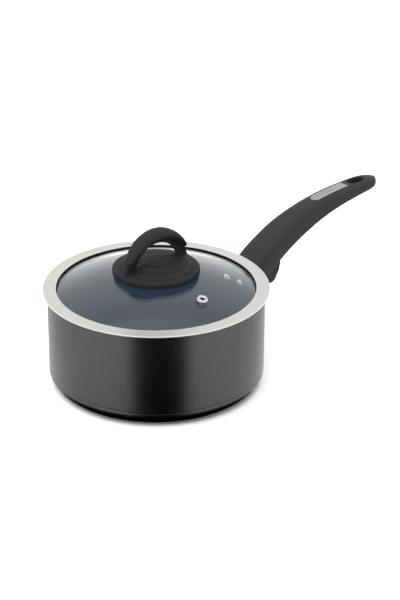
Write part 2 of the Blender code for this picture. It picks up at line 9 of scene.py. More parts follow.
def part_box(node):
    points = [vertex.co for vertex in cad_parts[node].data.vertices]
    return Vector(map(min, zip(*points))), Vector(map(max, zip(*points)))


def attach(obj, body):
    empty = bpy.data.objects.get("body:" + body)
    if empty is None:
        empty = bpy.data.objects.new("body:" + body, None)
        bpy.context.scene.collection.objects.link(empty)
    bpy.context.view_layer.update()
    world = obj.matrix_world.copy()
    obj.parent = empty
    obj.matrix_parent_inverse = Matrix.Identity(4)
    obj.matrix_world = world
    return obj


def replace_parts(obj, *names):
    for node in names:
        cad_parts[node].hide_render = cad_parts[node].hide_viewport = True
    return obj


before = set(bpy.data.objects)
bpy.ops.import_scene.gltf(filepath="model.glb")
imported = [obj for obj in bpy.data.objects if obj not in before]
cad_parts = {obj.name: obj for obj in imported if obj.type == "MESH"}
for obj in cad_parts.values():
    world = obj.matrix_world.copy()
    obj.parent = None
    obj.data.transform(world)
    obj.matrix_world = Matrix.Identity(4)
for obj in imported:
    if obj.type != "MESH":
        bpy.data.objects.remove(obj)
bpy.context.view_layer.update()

# Camera ------------------------------------------------------------------------------------------
# A long lens looking down on the pan from the side where the handle points away to the right.
# The whole pan stands well inside an upright picture.
LENS_MM = 106.6
SENSOR_MM = 36.0
CAMERA_PLACE = Vector((-0.8949, -1.0186, 0.7267))
CAMERA_YAW = math.radians(-42.863)
CAMERA_DOWN = math.radians(25.788)
CAMERA_ROLL = math.radians(0.353)

eye = bpy.data.cameras.new("eye")
eye.sensor_fit = "VERTICAL"
eye.sensor_height = SENSOR_MM
eye.sensor_width = SENSOR_MM
eye.lens = LENS_MM
camera = bpy.data.objects.new("camera", eye)
bpy.context.scene.collection.objects.link(camera)
camera.location = CAMERA_PLACE
aim = Matrix.Rotation(CAMERA_YAW, 4, "Z") @ Matrix.Rotation(math.pi / 2 - CAMERA_DOWN, 4, "X")
camera.rotation_euler = (aim @ Matrix.Rotation(CAMERA_ROLL, 4, "Z")).to_euler()
bpy.context.scene.camera = camera


# Studio ------------------------------------------------------------------------------------------
# A plain pale floor in a white tent that is brightest low down, with one large soft lamp over the
# pan. The tent also hangs down past the floor on both sides, and its opening in front is what keeps
# the pan's wall dark there. Heights in the tent are those of a direction of length 1.
FLOOR_SIZE = 14.0
PAPER_WHITE = (0.94, 0.94, 0.94, 1.0)
TENT_LOW = 1.10
TENT_HIGH = 0.75
TENT_TOP = 1.00
TENT_SIDES = 1.05
TENT_HEM = -0.62
DIMS_FROM = 0.08
DIMS_OVER = 0.34
TOP_FROM = 0.80
TOP_OVER = 0.15
LAMP_PLACE = (-0.3, 0.3, 2.4)
LAMP_SIZE = 4.0
LAMP_WATTS = 135.0
PAN_MIDDLE = (0.0, 0.0, 0.05)
OPENING_FACES = CAMERA_PLACE.xy.normalized()
OPENING_LEFT = math.cos(math.radians(26.0))
OPENING_RIGHT = math.cos(math.radians(33.0))


class Val:
    """A shader socket that can be used in plain arithmetic."""

    def __init__(self, tree, socket):
        self.tree = tree
        self.socket = socket

    def _math(self, operation, first, second):
        node = self.tree.nodes.new("ShaderNodeMath")
        node.operation = operation
        for slot, value in ((0, first), (1, second)):
            if isinstance(value, Val):
                self.tree.links.new(value.socket, node.inputs[slot])
            else:
                node.inputs[slot].default_value = value
        return Val(self.tree, node.outputs[0])

    def __add__(self, other):
        return self._math("ADD", self, other)

    def __radd__(self, other):
        return self._math("ADD", other, self)

    def __sub__(self, other):
        return self._math("SUBTRACT", self, other)

    def __rsub__(self, other):
        return self._math("SUBTRACT", other, self)

    def __mul__(self, other):
        return self._math("MULTIPLY", self, other)

    def __rmul__(self, other):
        return self._math("MULTIPLY", other, self)

    def __truediv__(self, other):
        return self._math("DIVIDE", self, other)

    def __pow__(self, other):
        return self._math("POWER", self, other)

    def clear_of(self, other):
        """1 where this is greater than the other, 0 elsewhere."""
        return self._math("GREATER_THAN", self, other)

    def angle_from(self, other):
        return self._math("ARCTAN2", self, other)

    def held(self, low, high):
        """The value kept between two numbers."""
        return self._math("MINIMUM", self._math("MAXIMUM", self, low), high)


class Nodes:
    """A node tree. Every node in it except plain arithmetic comes from the one method here."""

    def __init__(self, tree):
        self.tree = tree

    def node(self, kind, settings=None, **inputs):
        made = self.tree.nodes.new(kind)
        for key, value in (settings or {}).items():
            setattr(made, key, value)
        for key, value in inputs.items():
            name = int(key[1:]) if key[1:].isdigit() else key.replace("_", " ")
            self.feed(made.inputs[name], value)
        return made

    def feed(self, socket, value):
        if isinstance(value, Val):
            self.tree.links.new(value.socket, socket)
        elif isinstance(value, bpy.types.NodeSocket):
            self.tree.links.new(value, socket)
        else:
            socket.default_value = value

    def parts(self, vector):
        """The three numbers of a vector."""
        split = self.node("ShaderNodeSeparateXYZ", Vector=vector)
        return [Val(self.tree, output) for output in split.outputs]


class Finish(Nodes):
    """One material: its Principled shader, and short ways to add the nodes that feed it."""

    def __init__(self, name, **shader_values):
        self.material = bpy.data.materials.new(name)
        self.material.use_nodes = True
        super().__init__(self.material.node_tree)
        self.shader = self.tree.nodes["Principled BSDF"]
        for socket, value in shader_values.items():
            self.shader.inputs[socket.replace("_", " ")].default_value = value
        self.place = self.node("ShaderNodeTexCoord").outputs["Object"]

    def axes(self):
        """The three Object coordinates, in metres."""
        return self.parts(self.place)

    def around(self):
        """Distance from the pan's axis, and the angle round it."""
        x, y, _ = self.axes()
        return (x * x + y * y) ** 0.5, y.angle_from(x)

    def vector(self, x, y, z):
        return self.node("ShaderNodeCombineXYZ", X=x, Y=y, Z=z).outputs[0]

    def stretched(self, x_scale, y_scale, z_scale):
        """Object coordinates, scaled differently along each axis."""
        x, y, z = self.axes()
        return self.vector(x * x_scale, y * y_scale, z * z_scale)

    def noise(self, scale, detail=2.0, roughness=0.5, at=None):
        made = self.node("ShaderNodeTexNoise", Vector=at or self.place, Scale=scale,
                         Detail=detail, Roughness=roughness)
        return Val(self.tree, made.outputs["Fac"])

    def cells(self, scale):
        """A random number from 0 to 1 for each small cell."""
        made = self.node("ShaderNodeTexVoronoi", Vector=self.place, Scale=scale)
        split = self.node("ShaderNodeSeparateColor", Color=made.outputs["Color"])
        return Val(self.tree, split.outputs[0])

    def spread(self, value, low, high, to_low=0.0, to_high=1.0):
        """The value's range low..high brought to to_low..to_high, and held there."""
        made = self.node("ShaderNodeMapRange", {"clamp": True}, Value=value, From_Min=low,
                         From_Max=high, To_Min=to_low, To_Max=to_high)
        return Val(self.tree, made.outputs[0])

    def blend(self, mask, first, second):
        made = self.node("ShaderNodeMix", {"data_type": "RGBA"}, _0=mask, _6=first, _7=second)
        return made.outputs[2]

    def set(self, socket, value):
        self.feed(self.shader.inputs[socket], value)

    def bump(self, height, distance, strength=1.0):
        """Relief of the given height in metres."""
        made = self.node("ShaderNodeBump", Height=height, Distance=distance, Strength=strength)
        self.set("Normal", made.outputs[0])


def floor_sheet():
    bm = bmesh.new()
    bmesh.ops.create_grid(bm, x_segments=2, y_segments=2, size=FLOOR_SIZE)
    mesh = bpy.data.meshes.new("studio_floor")
    bm.to_mesh(mesh)
    bm.free()
    sheet = bpy.data.objects.new("studio_floor", mesh)
    bpy.context.scene.collection.objects.link(sheet)
    paper = Finish("studio_paper", Base_Color=PAPER_WHITE)
    paper.set("Roughness", paper.spread(paper.noise(3.0), 0.3, 0.7, 0.85, 0.95))
    mesh.materials.append(paper.material)
    sheet.visible_glossy = False


def lamp_over():
    """A soft square lamp that faces the pan. No surface mirrors it, and none shows it through glass."""
    lamp = bpy.data.lights.new("lamp_over", "AREA")
    lamp.shape = "SQUARE"
    lamp.size = LAMP_SIZE
    lamp.energy = LAMP_WATTS
    holder = bpy.data.objects.new("lamp_over", lamp)
    bpy.context.scene.collection.objects.link(holder)
    holder.location = LAMP_PLACE
    away = Vector(LAMP_PLACE) - Vector(PAN_MIDDLE)
    holder.rotation_euler = away.to_track_quat("Z", "Y").to_euler()
    holder.visible_glossy = False
    holder.visible_transmission = False


def studio_tent():
    """White above the floor; below it, white sides with an opening in front and nothing beneath."""
    world = bpy.data.worlds.new("studio_tent")
    world.use_nodes = True
    tent = Nodes(world.node_tree)
    backdrop = tent.tree.nodes["Background"]
    tent.feed(backdrop.inputs["Color"], (1.0, 1.0, 1.0, 1.0))
    x, y, z = tent.parts(tent.node("ShaderNodeTexCoord").outputs["Generated"])
    level = (x * x + y * y + 0.0001) ** 0.5
    facing = (x * OPENING_FACES.x + y * OPENING_FACES.y) / level
    rightward = (y * OPENING_FACES.x - x * OPENING_FACES.y).clear_of(0.0)
    edge = OPENING_LEFT + (OPENING_RIGHT - OPENING_LEFT) * rightward
    sides = edge.clear_of(facing) * z.clear_of(TENT_HEM)
    above = z.clear_of(0.0)
    height = ((z - DIMS_FROM) / DIMS_OVER).held(0.0, 1.0)
    overhead = ((z - TOP_FROM) / TOP_OVER).held(0.0, 1.0)
    cloth = TENT_LOW + (TENT_HIGH - TENT_LOW) * height + (TENT_TOP - TENT_HIGH) * overhead
    strength = above * cloth + (1.0 - above) * sides * TENT_SIDES
    tent.feed(backdrop.inputs["Strength"], strength)
    bpy.context.scene.world = world


bpy.context.scene.view_settings.view_transform = "Standard"
floor_sheet()
studio_tent()
lamp_over()


# Pan body ----------------------------------------------------------------------------------------
# Pressed aluminium, turned here at full fineness: rounded rim, straight wall, a shallow rolled line
# above the rounded base. Outside it has a dark metallic coating, inside a pale blue-grey lining.
ROUND_STEPS = 180
GAP = 0.0003
WALL = 0.0022
PAN_LOW, PAN_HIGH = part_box("pan_body")
PAN_RADIUS = PAN_HIGH.x
FLOOR_TOP = 0.0042
BASE_CORNER = 0.0112
ROLLED_LINE_Z = 0.0125
ROLLED_LINE_HEIGHT = 0.0009
ROLLED_LINE_DEPTH = 0.00014
COATING_DARK = (0.108, 0.105, 0.107, 1.0)
COATING_FLAKE = (0.250, 0.226, 0.205, 1.0)
LINING = (0.250, 0.385, 0.510, 1.0)
LINING_SPECK = (0.295, 0.430, 0.560, 1.0)
# Darker blue-grey for the cooking floor: painted shade.
LINING_FLOOR_PAINTED_SHADE = (0.170, 0.270, 0.375, 1.0)


def arc(centre_x, centre_z, radius, start, end, steps):
    """Points on an arc in the XZ plane; degrees from +X towards +Z."""
    angles = [math.radians(start + (end - start) * i / steps) for i in range(steps + 1)]
    return [(centre_x + radius * math.cos(a), centre_z + radius * math.sin(a)) for a in angles]


def spun(profile, steps, closed=False):
    """A profile in the XZ plane spun about Z; a closed one makes a ring."""
    bm = bmesh.new()
    verts = [bm.verts.new((x, 0.0, z)) for x, z in profile]
    edges = [bm.edges.new(pair) for pair in zip(verts, verts[1:])]
    if closed:
        edges.append(bm.edges.new((verts[-1], verts[0])))
    bmesh.ops.spin(bm, geom=verts + edges, axis=(0, 0, 1), cent=(0, 0, 0), angle=2 * math.pi,
                   steps=steps, use_merge=True)
    return bm


def turned(name, profile, finish, body, closed=False, steps=ROUND_STEPS, matrix=None):
    """A piece spun from its profile, then set in place within its mesh."""
    return placed(name, spun(profile, steps, closed), finish, body, matrix)


def placed(name, bm, finish, body, matrix=None, smooth_angle=35.0):
    """Closes and turns a mesh outwards, sets it in place and hands it to its CAD body."""
    bmesh.ops.remove_doubles(bm, verts=bm.verts, dist=1e-6)
    bmesh.ops.recalc_face_normals(bm, faces=bm.faces)
    if matrix is not None:
        bmesh.ops.transform(bm, matrix=matrix, verts=bm.verts)
    mesh = bpy.data.meshes.new(name)
    bm.to_mesh(mesh)
    bm.free()
    mesh.shade_smooth()
    mesh.set_sharp_from_angle(angle=math.radians(smooth_angle))
    piece = bpy.data.objects.new(name, mesh)
    bpy.context.scene.collection.objects.link(piece)
    mesh.materials.append(finish.material)
    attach(piece, body)
    return piece


def metallic_coating():
    coat = Finish("metallic_coating", Metallic=1.0)
    flakes = coat.spread(coat.cells(2600.0), 0.80, 1.0)
    drift = coat.noise(35.0, 4.0)
    coat.set("Base Color", coat.blend(flakes * (0.20 + 0.35 * drift), COATING_DARK, COATING_FLAKE))
    coat.set("Roughness", coat.spread(coat.noise(420.0, 3.0), 0.25, 0.75, 0.27, 0.33) + 0.04 * flakes)
    coat.bump(coat.noise(900.0, 3.0) + 0.3 * flakes, 0.00002, 0.35)
    return coat


def ceramic_lining():
    """Pale blue-grey ceramic on the wall, darker towards the cooking floor by painted shade."""
    lining = Finish("ceramic_lining", Specular_IOR_Level=0.30)
    specks = lining.spread(lining.cells(1500.0), 0.80, 1.0)
    cloud = lining.noise(24.0, 3.0)
    wall_colour = lining.blend(specks * 0.5 + 0.25 * cloud, LINING, LINING_SPECK)
    # The colour fades to the darker blue-grey near the cooking floor: painted shade, not a change in the
    # ceramic.
    above_floor_shade = lining.spread(lining.axes()[2], FLOOR_TOP + 0.0005, FLOOR_TOP + 0.0300)
    lining.set("Base Color", lining.blend(above_floor_shade, LINING_FLOOR_PAINTED_SHADE, wall_colour))
    lining.set("Roughness", lining.spread(lining.noise(260.0, 3.0), 0.3, 0.7, 0.32, 0.44))
    lining.bump(lining.noise(700.0, 2.0), 0.00003, 0.5)
    return lining


def pan_profile():
    """From the middle of the cooking floor, up the inside, over the rim, down to the underside."""
    lip = WALL / 2
    rim_z = PAN_HIGH.z - lip
    inner = PAN_RADIUS - WALL
    inner_corner = BASE_CORNER - WALL
    inside = [(0.0, FLOOR_TOP)]
    inside += [(inner * share, FLOOR_TOP) for share in (0.25, 0.5, 0.75)]
    inside += arc(inner - inner_corner, FLOOR_TOP + inner_corner, inner_corner, -90, 0, 14)
    inside += arc(inner + lip, rim_z, lip, 180, 90, 6)
    outside = arc(PAN_RADIUS - lip, rim_z, lip, 80, 0, 6)
    line_steps = 8
    for i in range(line_steps + 1):
        share = i / line_steps
        sunk = ROLLED_LINE_DEPTH * math.sin(math.pi * share) ** 2
        outside.append((PAN_RADIUS - sunk, ROLLED_LINE_Z + ROLLED_LINE_HEIGHT * (1 - 2 * share)))
    underside = PAN_LOW.z
    outside += arc(PAN_RADIUS - BASE_CORNER, underside + BASE_CORNER, BASE_CORNER, 0, -90, 14)
    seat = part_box("base_disc")[1]
    outside += [(seat.x + GAP, underside), (seat.x + GAP, seat.z + GAP), (0.0, seat.z + GAP)]
    return inside + outside


pan = turned("pan_shell", pan_profile(), metallic_coating(), "pan")
pan.data.materials.append(ceramic_lining().material)
for face in pan.data.polygons:
    inward = face.normal.xy.dot(face.center.xy) < 0.0
    cooking_floor = face.normal.z > 0.7 and face.center.z < PAN_HIGH.z / 2
    if inward or cooking_floor:
        face.material_index = 1
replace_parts(pan, "pan_body")


# Base disc ---------------------------------------------------------------------------------------
# A magnetic steel disc bonded into the underside for the stove. Its lower face is turned, which
# leaves fine rings, with a few shallow grooves that let it breathe as it warms.
DISC_LOW, DISC_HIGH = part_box("base_disc")
DISC_RADIUS = DISC_HIGH.x
DISC_GROOVES = (0.022, 0.040, 0.056)
GROOVE_HALF = 0.0006
GROOVE_DEPTH = 0.0004
DISC_CHAMFER = 0.0004
STEEL_STAINED = (0.36, 0.36, 0.37, 1.0)
STEEL_CLEAN = (0.52, 0.51, 0.49, 1.0)


def turned_steel():
    steel = Finish("turned_base_steel", Metallic=1.0)
    reach, _ = steel.around()
    rings = steel.noise(1.0, 3.0, 0.6, steel.vector(reach * 3200.0, 0.0, 0.0))
    stain = steel.noise(45.0, 4.0)
    steel.set("Base Color", steel.blend(stain, STEEL_STAINED, STEEL_CLEAN))
    steel.set("Roughness", steel.spread(rings + 0.4 * stain, 0.3, 1.0, 0.26, 0.46))
    steel.bump(rings, 0.00005, 0.7)
    return steel


def disc_profile():
    profile = [(0.0, DISC_HIGH.z), (DISC_RADIUS, DISC_HIGH.z), (DISC_RADIUS, DISC_CHAMFER)]
    profile.append((DISC_RADIUS - DISC_CHAMFER, DISC_LOW.z))
    for middle in reversed(DISC_GROOVES):
        profile += [(middle + GROOVE_HALF, DISC_LOW.z), (middle + GROOVE_HALF * 0.5, GROOVE_DEPTH)]
        profile += [(middle - GROOVE_HALF * 0.5, GROOVE_DEPTH), (middle - GROOVE_HALF, DISC_LOW.z)]
    return profile + [(0.0, DISC_LOW.z)]


disc = turned("base_plate", disc_profile(), turned_steel(), "pan", steps=120)
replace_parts(disc, "base_disc")


# Lid ring ----------------------------------------------------------------------------------------
# Stainless strip rolled into a ring: a broad flat flange on the pan's rim with a rolled outer lip,
# a skirt that drops inside the wall, and a shelf turned in under the glass. Brushed round the ring.
BAND_LOW, BAND_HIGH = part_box("lid_band")
BAND_OUTER = BAND_HIGH.x
BAND_INNER = 0.0846
BAND_STEEL = 0.0008
SKIRT = 0.0888
BAND_FLAT = 0.0852
INNER_RISE = 0.0003
RING_DARK = (0.768, 0.764, 0.732, 1.0)
RING_LIGHT = (0.96, 0.955, 0.915, 1.0)
# Near-white colour for the ring's outer and inner lips: painted highlight.
LIP_PAINTED_HIGHLIGHT = (0.99, 0.98, 0.95, 1.0)


def brushed_ring_steel():
    steel = Finish("brushed_ring_steel", Metallic=1.0)
    reach, turn = steel.around()
    grain = steel.noise(1.0, 4.0, 0.65, steel.vector(reach * 5200.0, turn * 9.0, 0.0))
    patch = steel.noise(30.0, 3.0)
    face = steel.blend(grain * 0.7 + patch * 0.3, RING_DARK, RING_LIGHT)
    # The near-white band of colour on the outer and inner lips is painted highlight, standing in for the
    # bright lines where the edges catch the light.
    lip_highlight_share = steel.spread(reach, BAND_OUTER - 0.0010, BAND_OUTER - 0.0006)
    lip_highlight_share = lip_highlight_share + steel.spread(reach, BAND_INNER + 0.0008, BAND_INNER + 0.0004)
    steel.set("Base Color", steel.blend(lip_highlight_share, face, LIP_PAINTED_HIGHLIGHT))
    steel.set("Roughness", steel.spread(grain + 0.3 * patch, 0.35, 0.95, 0.36, 0.50))
    steel.bump(grain, 0.00003, 0.5)
    return steel


def band_profile():
    """Round the section: flange top, rolled lip, underside, skirt, shelf and back up inside."""
    lip = 0.0008
    under = BAND_FLAT - BAND_STEEL
    skirt_in = SKIRT - BAND_STEEL
    bead = 0.0005
    inner_z = BAND_FLAT + INNER_RISE - bead
    profile = arc(BAND_INNER + bead, inner_z, bead, 180, 80, 6)
    profile += [(BAND_INNER + 0.0022, BAND_FLAT + 0.0001), (BAND_OUTER - 0.0030, BAND_FLAT)]
    profile += arc(BAND_OUTER - lip, BAND_FLAT - lip, lip, 90, -90, 12)
    profile += [(BAND_OUTER - 0.0012, under + 0.0001), (SKIRT + 0.0006, under)]
    profile += arc(SKIRT + 0.0006, under - 0.0006, 0.0006, 90, 180, 4)
    profile += arc(skirt_in, BAND_LOW.z + BAND_STEEL, BAND_STEEL, 0, -90, 5)
    profile += [(BAND_INNER, BAND_LOW.z), (BAND_INNER, BAND_LOW.z + BAND_STEEL)]
    profile += [(skirt_in, BAND_LOW.z + BAND_STEEL + 0.0001), (skirt_in, under + 0.0001)]
    return profile + [(BAND_INNER, inner_z - GAP)]


ring = turned("lid_ring", band_profile(), brushed_ring_steel(), "lid", closed=True,
              steps=240)
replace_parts(ring, "lid_band")


# Ring cushion ------------------------------------------------------------------------------------
# Black elastomer channel pressed round the edge of the glass, so that it sits quietly in the ring.
# Only a thin dark line of it shows inside the flange.
CUSHION_SOFT = 0.0004
RUBBER_DARK = (0.008, 0.008, 0.008, 1.0)
RUBBER_LIGHT = (0.020, 0.020, 0.021, 1.0)
GLASS_RADIUS = 0.2277
GLASS_TOP_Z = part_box("lid_glass")[1].z
GLASS_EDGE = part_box("lid_glass")[1].x
GLASS_WALL = 0.0040
GLASS_CENTRE = GLASS_TOP_Z - GLASS_RADIUS


def dome_z(reach, sunk=0.0):
    """Height of the dome's outer face, or of one lying deeper in it, at a distance from the axis."""
    return GLASS_CENTRE + math.sqrt((GLASS_RADIUS - sunk) ** 2 - reach ** 2)


def black_elastomer():
    rubber = Finish("black_elastomer", Specular_IOR_Level=0.35)
    rubber.set("Base Color", rubber.blend(rubber.noise(60.0), RUBBER_DARK, RUBBER_LIGHT))
    rubber.set("Roughness", rubber.spread(rubber.noise(500.0, 3.0), 0.3, 0.7, 0.55, 0.75))
    rubber.bump(rubber.noise(1400.0, 2.0), 0.00003, 0.5)
    return rubber


def cushion_profile():
    """Round the channel from its top, down its back, and in and out of the pocket for the glass."""
    low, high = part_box("lid_band_cushion")
    pocket = GLASS_EDGE + GAP
    inner = BAND_INNER
    soft = CUSHION_SOFT
    profile = [(inner + soft, high.z), (high.x - soft, high.z), (high.x, high.z - soft)]
    profile += [(high.x, low.z + soft), (high.x - soft, low.z), (inner + soft, low.z)]
    profile += [(inner, low.z + soft), (inner, dome_z(inner, GLASS_WALL) - GAP)]
    profile += [(pocket, dome_z(pocket, GLASS_WALL) - GAP), (pocket, dome_z(pocket) + GAP)]
    return profile + [(inner, dome_z(inner) + GAP)]


cushion = turned("ring_cushion", cushion_profile(), black_elastomer(), "lid",
                 closed=True)
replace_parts(cushion, "lid_band_cushion")


# Glass -------------------------------------------------------------------------------------------
# A shallow tempered dome with ground edges, one hole in the middle for the knob's screw and one
# for the steam vent. Clear, with only a breath of blue, and faint polishing marks.
CENTRE_HOLE = 0.0036
VENT_HOLE = 0.0034
VENT_REACH = 0.0577
VENT_ANGLE = math.radians(-91.0)
GLASS_TINT = (0.955, 0.975, 0.985, 1.0)
GLASS_RINGS = 30
GLASS_EDGE_ROUND = 0.0012
DRILL_HALF = 0.01


def clear_glass():
    glass = Finish("clear_tempered_glass", Transmission_Weight=1.0, IOR=1.5, Base_Color=GLASS_TINT)
    glass.set("Roughness", glass.spread(glass.noise(30.0, 4.0), 0.45, 0.85, 0.0, 0.03))
    return glass


def glass_profile():
    """Out over the dome, round the ground edge, and back under it."""
    span = GLASS_EDGE - GLASS_EDGE_ROUND - CENTRE_HOLE
    reaches = [CENTRE_HOLE + span * i / GLASS_RINGS for i in range(GLASS_RINGS + 1)]
    outer = [(reach, dome_z(reach)) for reach in reaches]
    inner = [(reach, dome_z(reach, GLASS_WALL)) for reach in reversed(reaches)]
    edge = [(GLASS_EDGE - inwards, dome_z(GLASS_EDGE) - down) for inwards, down in
            ((0.0003, 0.0005), (0.0, 0.0014), (0.0, 0.0026), (0.0005, 0.0035))]
    return outer + edge + inner


def standing(place, direction):
    """Stands a piece made about Z at a place, pointing in a direction."""
    return Matrix.Translation(place) @ direction.to_track_quat("Z", "Y").to_matrix().to_4x4()


def drill_bm(radius, start, end, steps=40):
    """A round bar from one point to another, to cut a hole with."""
    start, end = Vector(start), Vector(end)
    bm = bmesh.new()
    bmesh.ops.create_cone(bm, cap_ends=True, segments=steps, radius1=radius, radius2=radius,
                          depth=(end - start).length, matrix=standing((start + end) / 2, end - start))
    return bm


def cut_away(piece, cutter_bm, operation="DIFFERENCE"):
    """Applies a Boolean with another closed mesh to a finished piece, and removes that mesh."""
    mesh = bpy.data.meshes.new("cutter")
    bmesh.ops.recalc_face_normals(cutter_bm, faces=cutter_bm.faces)
    cutter_bm.to_mesh(mesh)
    cutter_bm.free()
    cutter = bpy.data.objects.new("cutter", mesh)
    bpy.context.scene.collection.objects.link(cutter)
    cut = piece.modifiers.new("cut", "BOOLEAN")
    cut.operation = operation
    cut.solver = "EXACT"
    cut.object = cutter
    evaluated = piece.evaluated_get(bpy.context.evaluated_depsgraph_get())
    result = bpy.data.meshes.new_from_object(evaluated)
    piece.modifiers.clear()
    piece.data = result
    bpy.data.objects.remove(cutter)


VENT_POINT = Vector((VENT_REACH * math.cos(VENT_ANGLE), VENT_REACH * math.sin(VENT_ANGLE),
                     dome_z(VENT_REACH)))
VENT_UP = (VENT_POINT - Vector((0.0, 0.0, GLASS_CENTRE))).normalized()
dome = turned("glass_dome", glass_profile(), clear_glass(), "lid", closed=True)
cut_away(dome, drill_bm(VENT_HOLE, VENT_POINT - VENT_UP * DRILL_HALF,
                        VENT_POINT + VENT_UP * DRILL_HALF, 48))
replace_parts(dome, "lid_glass")


# Steam vent --------------------------------------------------------------------------------------
# A polished steel eyelet pushed through the glass. Its top is rolled over on a thin silicone ring,
# and its tail is rolled over a steel washer underneath.
VENT_BORE = 0.0019
VENT_LIP = 0.0049
VENT_TUBE = 0.0030
VENT_ROLL_HEIGHT = 0.0013
VENT_TAIL_LIP = 0.0039
VENT_TAIL_HALF = 0.0010
VENT_TAIL_HEIGHT = 0.0006
VENT_RING_BORE = 0.0033
VENT_SEAL_OUTER = 0.0043
VENT_WASHER_OUTER = 0.0041
VENT_SEAL_THICKNESS = 0.0004
VENT_WASHER_THICKNESS = 0.0006
SMALL_STEPS = 48
STEEL_WARMTH = 0.985
# Dark grey for steel under the glass: painted shade.
STEEL_PAINTED_SHADE = (0.055, 0.060, 0.066, 1.0)


def bright_steel(name, tone, rough=0.16, painted_shade_below=None):
    """Bright plated steel, with painted shade: below a given height its colour is dark grey."""
    steel = Finish(name, Metallic=1.0)
    cloud = steel.noise(220.0, 4.0, 0.6)
    scratch = steel.noise(1.0, 3.0, 0.6, steel.stretched(900.0, 5200.0, 2600.0))
    dark, light = [(grey, grey, grey * STEEL_WARMTH, 1.0) for grey in (tone * 0.88, tone)]
    colour = steel.blend(cloud, dark, light)
    # Below the given height the colour turns dark grey: painted shade under the glass.
    if painted_shade_below is not None:
        above_vent_shade = steel.spread(steel.axes()[2], painted_shade_below - 0.0004, painted_shade_below + 0.0004)
        colour = steel.blend(above_vent_shade, STEEL_PAINTED_SHADE, colour)
    steel.set("Base Color", colour)
    steel.set("Roughness", steel.spread(cloud + 0.5 * scratch, 0.45, 1.05, rough * 0.75, rough * 1.5))
    steel.bump(scratch, 0.00001, 0.4)
    return steel


def clear_silicone():
    rubber = Finish("clear_silicone", Subsurface_Weight=0.3, Subsurface_Scale=0.001)
    milky = rubber.noise(180.0, 3.0)
    rubber.set("Base Color", rubber.blend(milky, (0.46, 0.46, 0.45, 1.0), (0.60, 0.60, 0.58, 1.0)))
    rubber.set("Roughness", rubber.spread(rubber.noise(600.0), 0.3, 0.7, 0.40, 0.52))
    rubber.bump(rubber.noise(900.0, 2.0), 0.00002, 0.4)
    return rubber


def ring_section(inner, outer, low, high, soft):
    """Round the section of a flat ring with softened corners."""
    corners = ((outer - soft, high - soft, 90), (outer - soft, low + soft, 0),
               (inner + soft, low + soft, -90), (inner + soft, high - soft, -180))
    section = []
    for x, z, start in corners:
        section += arc(x, z, soft, start, start - 90, 4)
    return section


def eyelet_profile():
    """From the bore over the rolled top, down the tube and out over the rolled tail."""
    seat = VENT_SEAL_THICKNESS + 2 * GAP
    tail = -(GLASS_WALL + 3 * GAP + VENT_WASHER_THICKNESS)
    middle, half = (VENT_BORE + VENT_LIP) / 2, (VENT_LIP - VENT_BORE) / 2
    roll = [(middle + half * math.cos(a), seat + 0.0002 + VENT_ROLL_HEIGHT * math.sin(a))
            for a in (math.pi * (1.0 - i / 14) for i in range(15))]
    tail_middle = (VENT_BORE + VENT_TAIL_LIP) / 2
    foot = [(tail_middle + VENT_TAIL_HALF * math.cos(a), tail - VENT_TAIL_HEIGHT * math.sin(a) - 0.0001)
            for a in (math.pi * i / 8 for i in range(9))]
    return roll + [(VENT_LIP - 0.0001, seat), (VENT_TUBE, seat), (VENT_TUBE, tail)] + foot


VENT_PLACE = standing(VENT_POINT, VENT_UP)
# Under the glass the eyelet's tail and the backing washer are coloured dark grey: painted shade.
VENT_STEEL = bright_steel("polished_vent_steel", 0.92, 0.12, painted_shade_below=dome_z(VENT_REACH) - 0.0010)
SILICONE = clear_silicone()
UNDER_GLASS = -(GLASS_WALL + 2 * GAP)
VENT_PIECES = (
    ("vent_rolled_eyelet", "vent_eyelet", eyelet_profile(), VENT_STEEL, "bright_steel"),
    ("vent_seal_ring", "vent_seal",
     ring_section(VENT_RING_BORE, VENT_SEAL_OUTER, GAP, GAP + VENT_SEAL_THICKNESS, 0.00015),
     SILICONE, "clear_silicone"),
    ("vent_backing_washer", "vent_washer",
     ring_section(VENT_RING_BORE, VENT_WASHER_OUTER, UNDER_GLASS - VENT_WASHER_THICKNESS,
                  UNDER_GLASS, 0.00012), VENT_STEEL, "bright_steel"),
)
for name, node, section, finish, slot in VENT_PIECES:
    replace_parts(turned(name, section, finish, "lid", True, SMALL_STEPS, VENT_PLACE), node)


# Handle rivets -----------------------------------------------------------------------------------
# Two solid rivets hold the bracket to the wall. Inside the pan each has a polished domed head, which
# mirrors the lid above it; outside, the tail is formed over the bracket.
RIVET_Z = 0.0600
RIVET_ANGLE = math.radians(5.3)
RIVET_HEAD = 0.0052
RIVET_RISE = 0.0025
RIVET_SHANK = 0.0025
RIVET_TAIL = 0.0036
RIVET_TAIL_RISE = 0.0016
RIVET_TAIL_EDGE = 0.0002
RIVET_FROM_WALL = 0.0005
RIVET_STAND = PAN_RADIUS - WALL - RIVET_FROM_WALL
BRACKET_PLATE = 0.0025
BRACKET_INNER = PAN_RADIUS + GAP
BRACKET_OUTER = BRACKET_INNER + BRACKET_PLATE


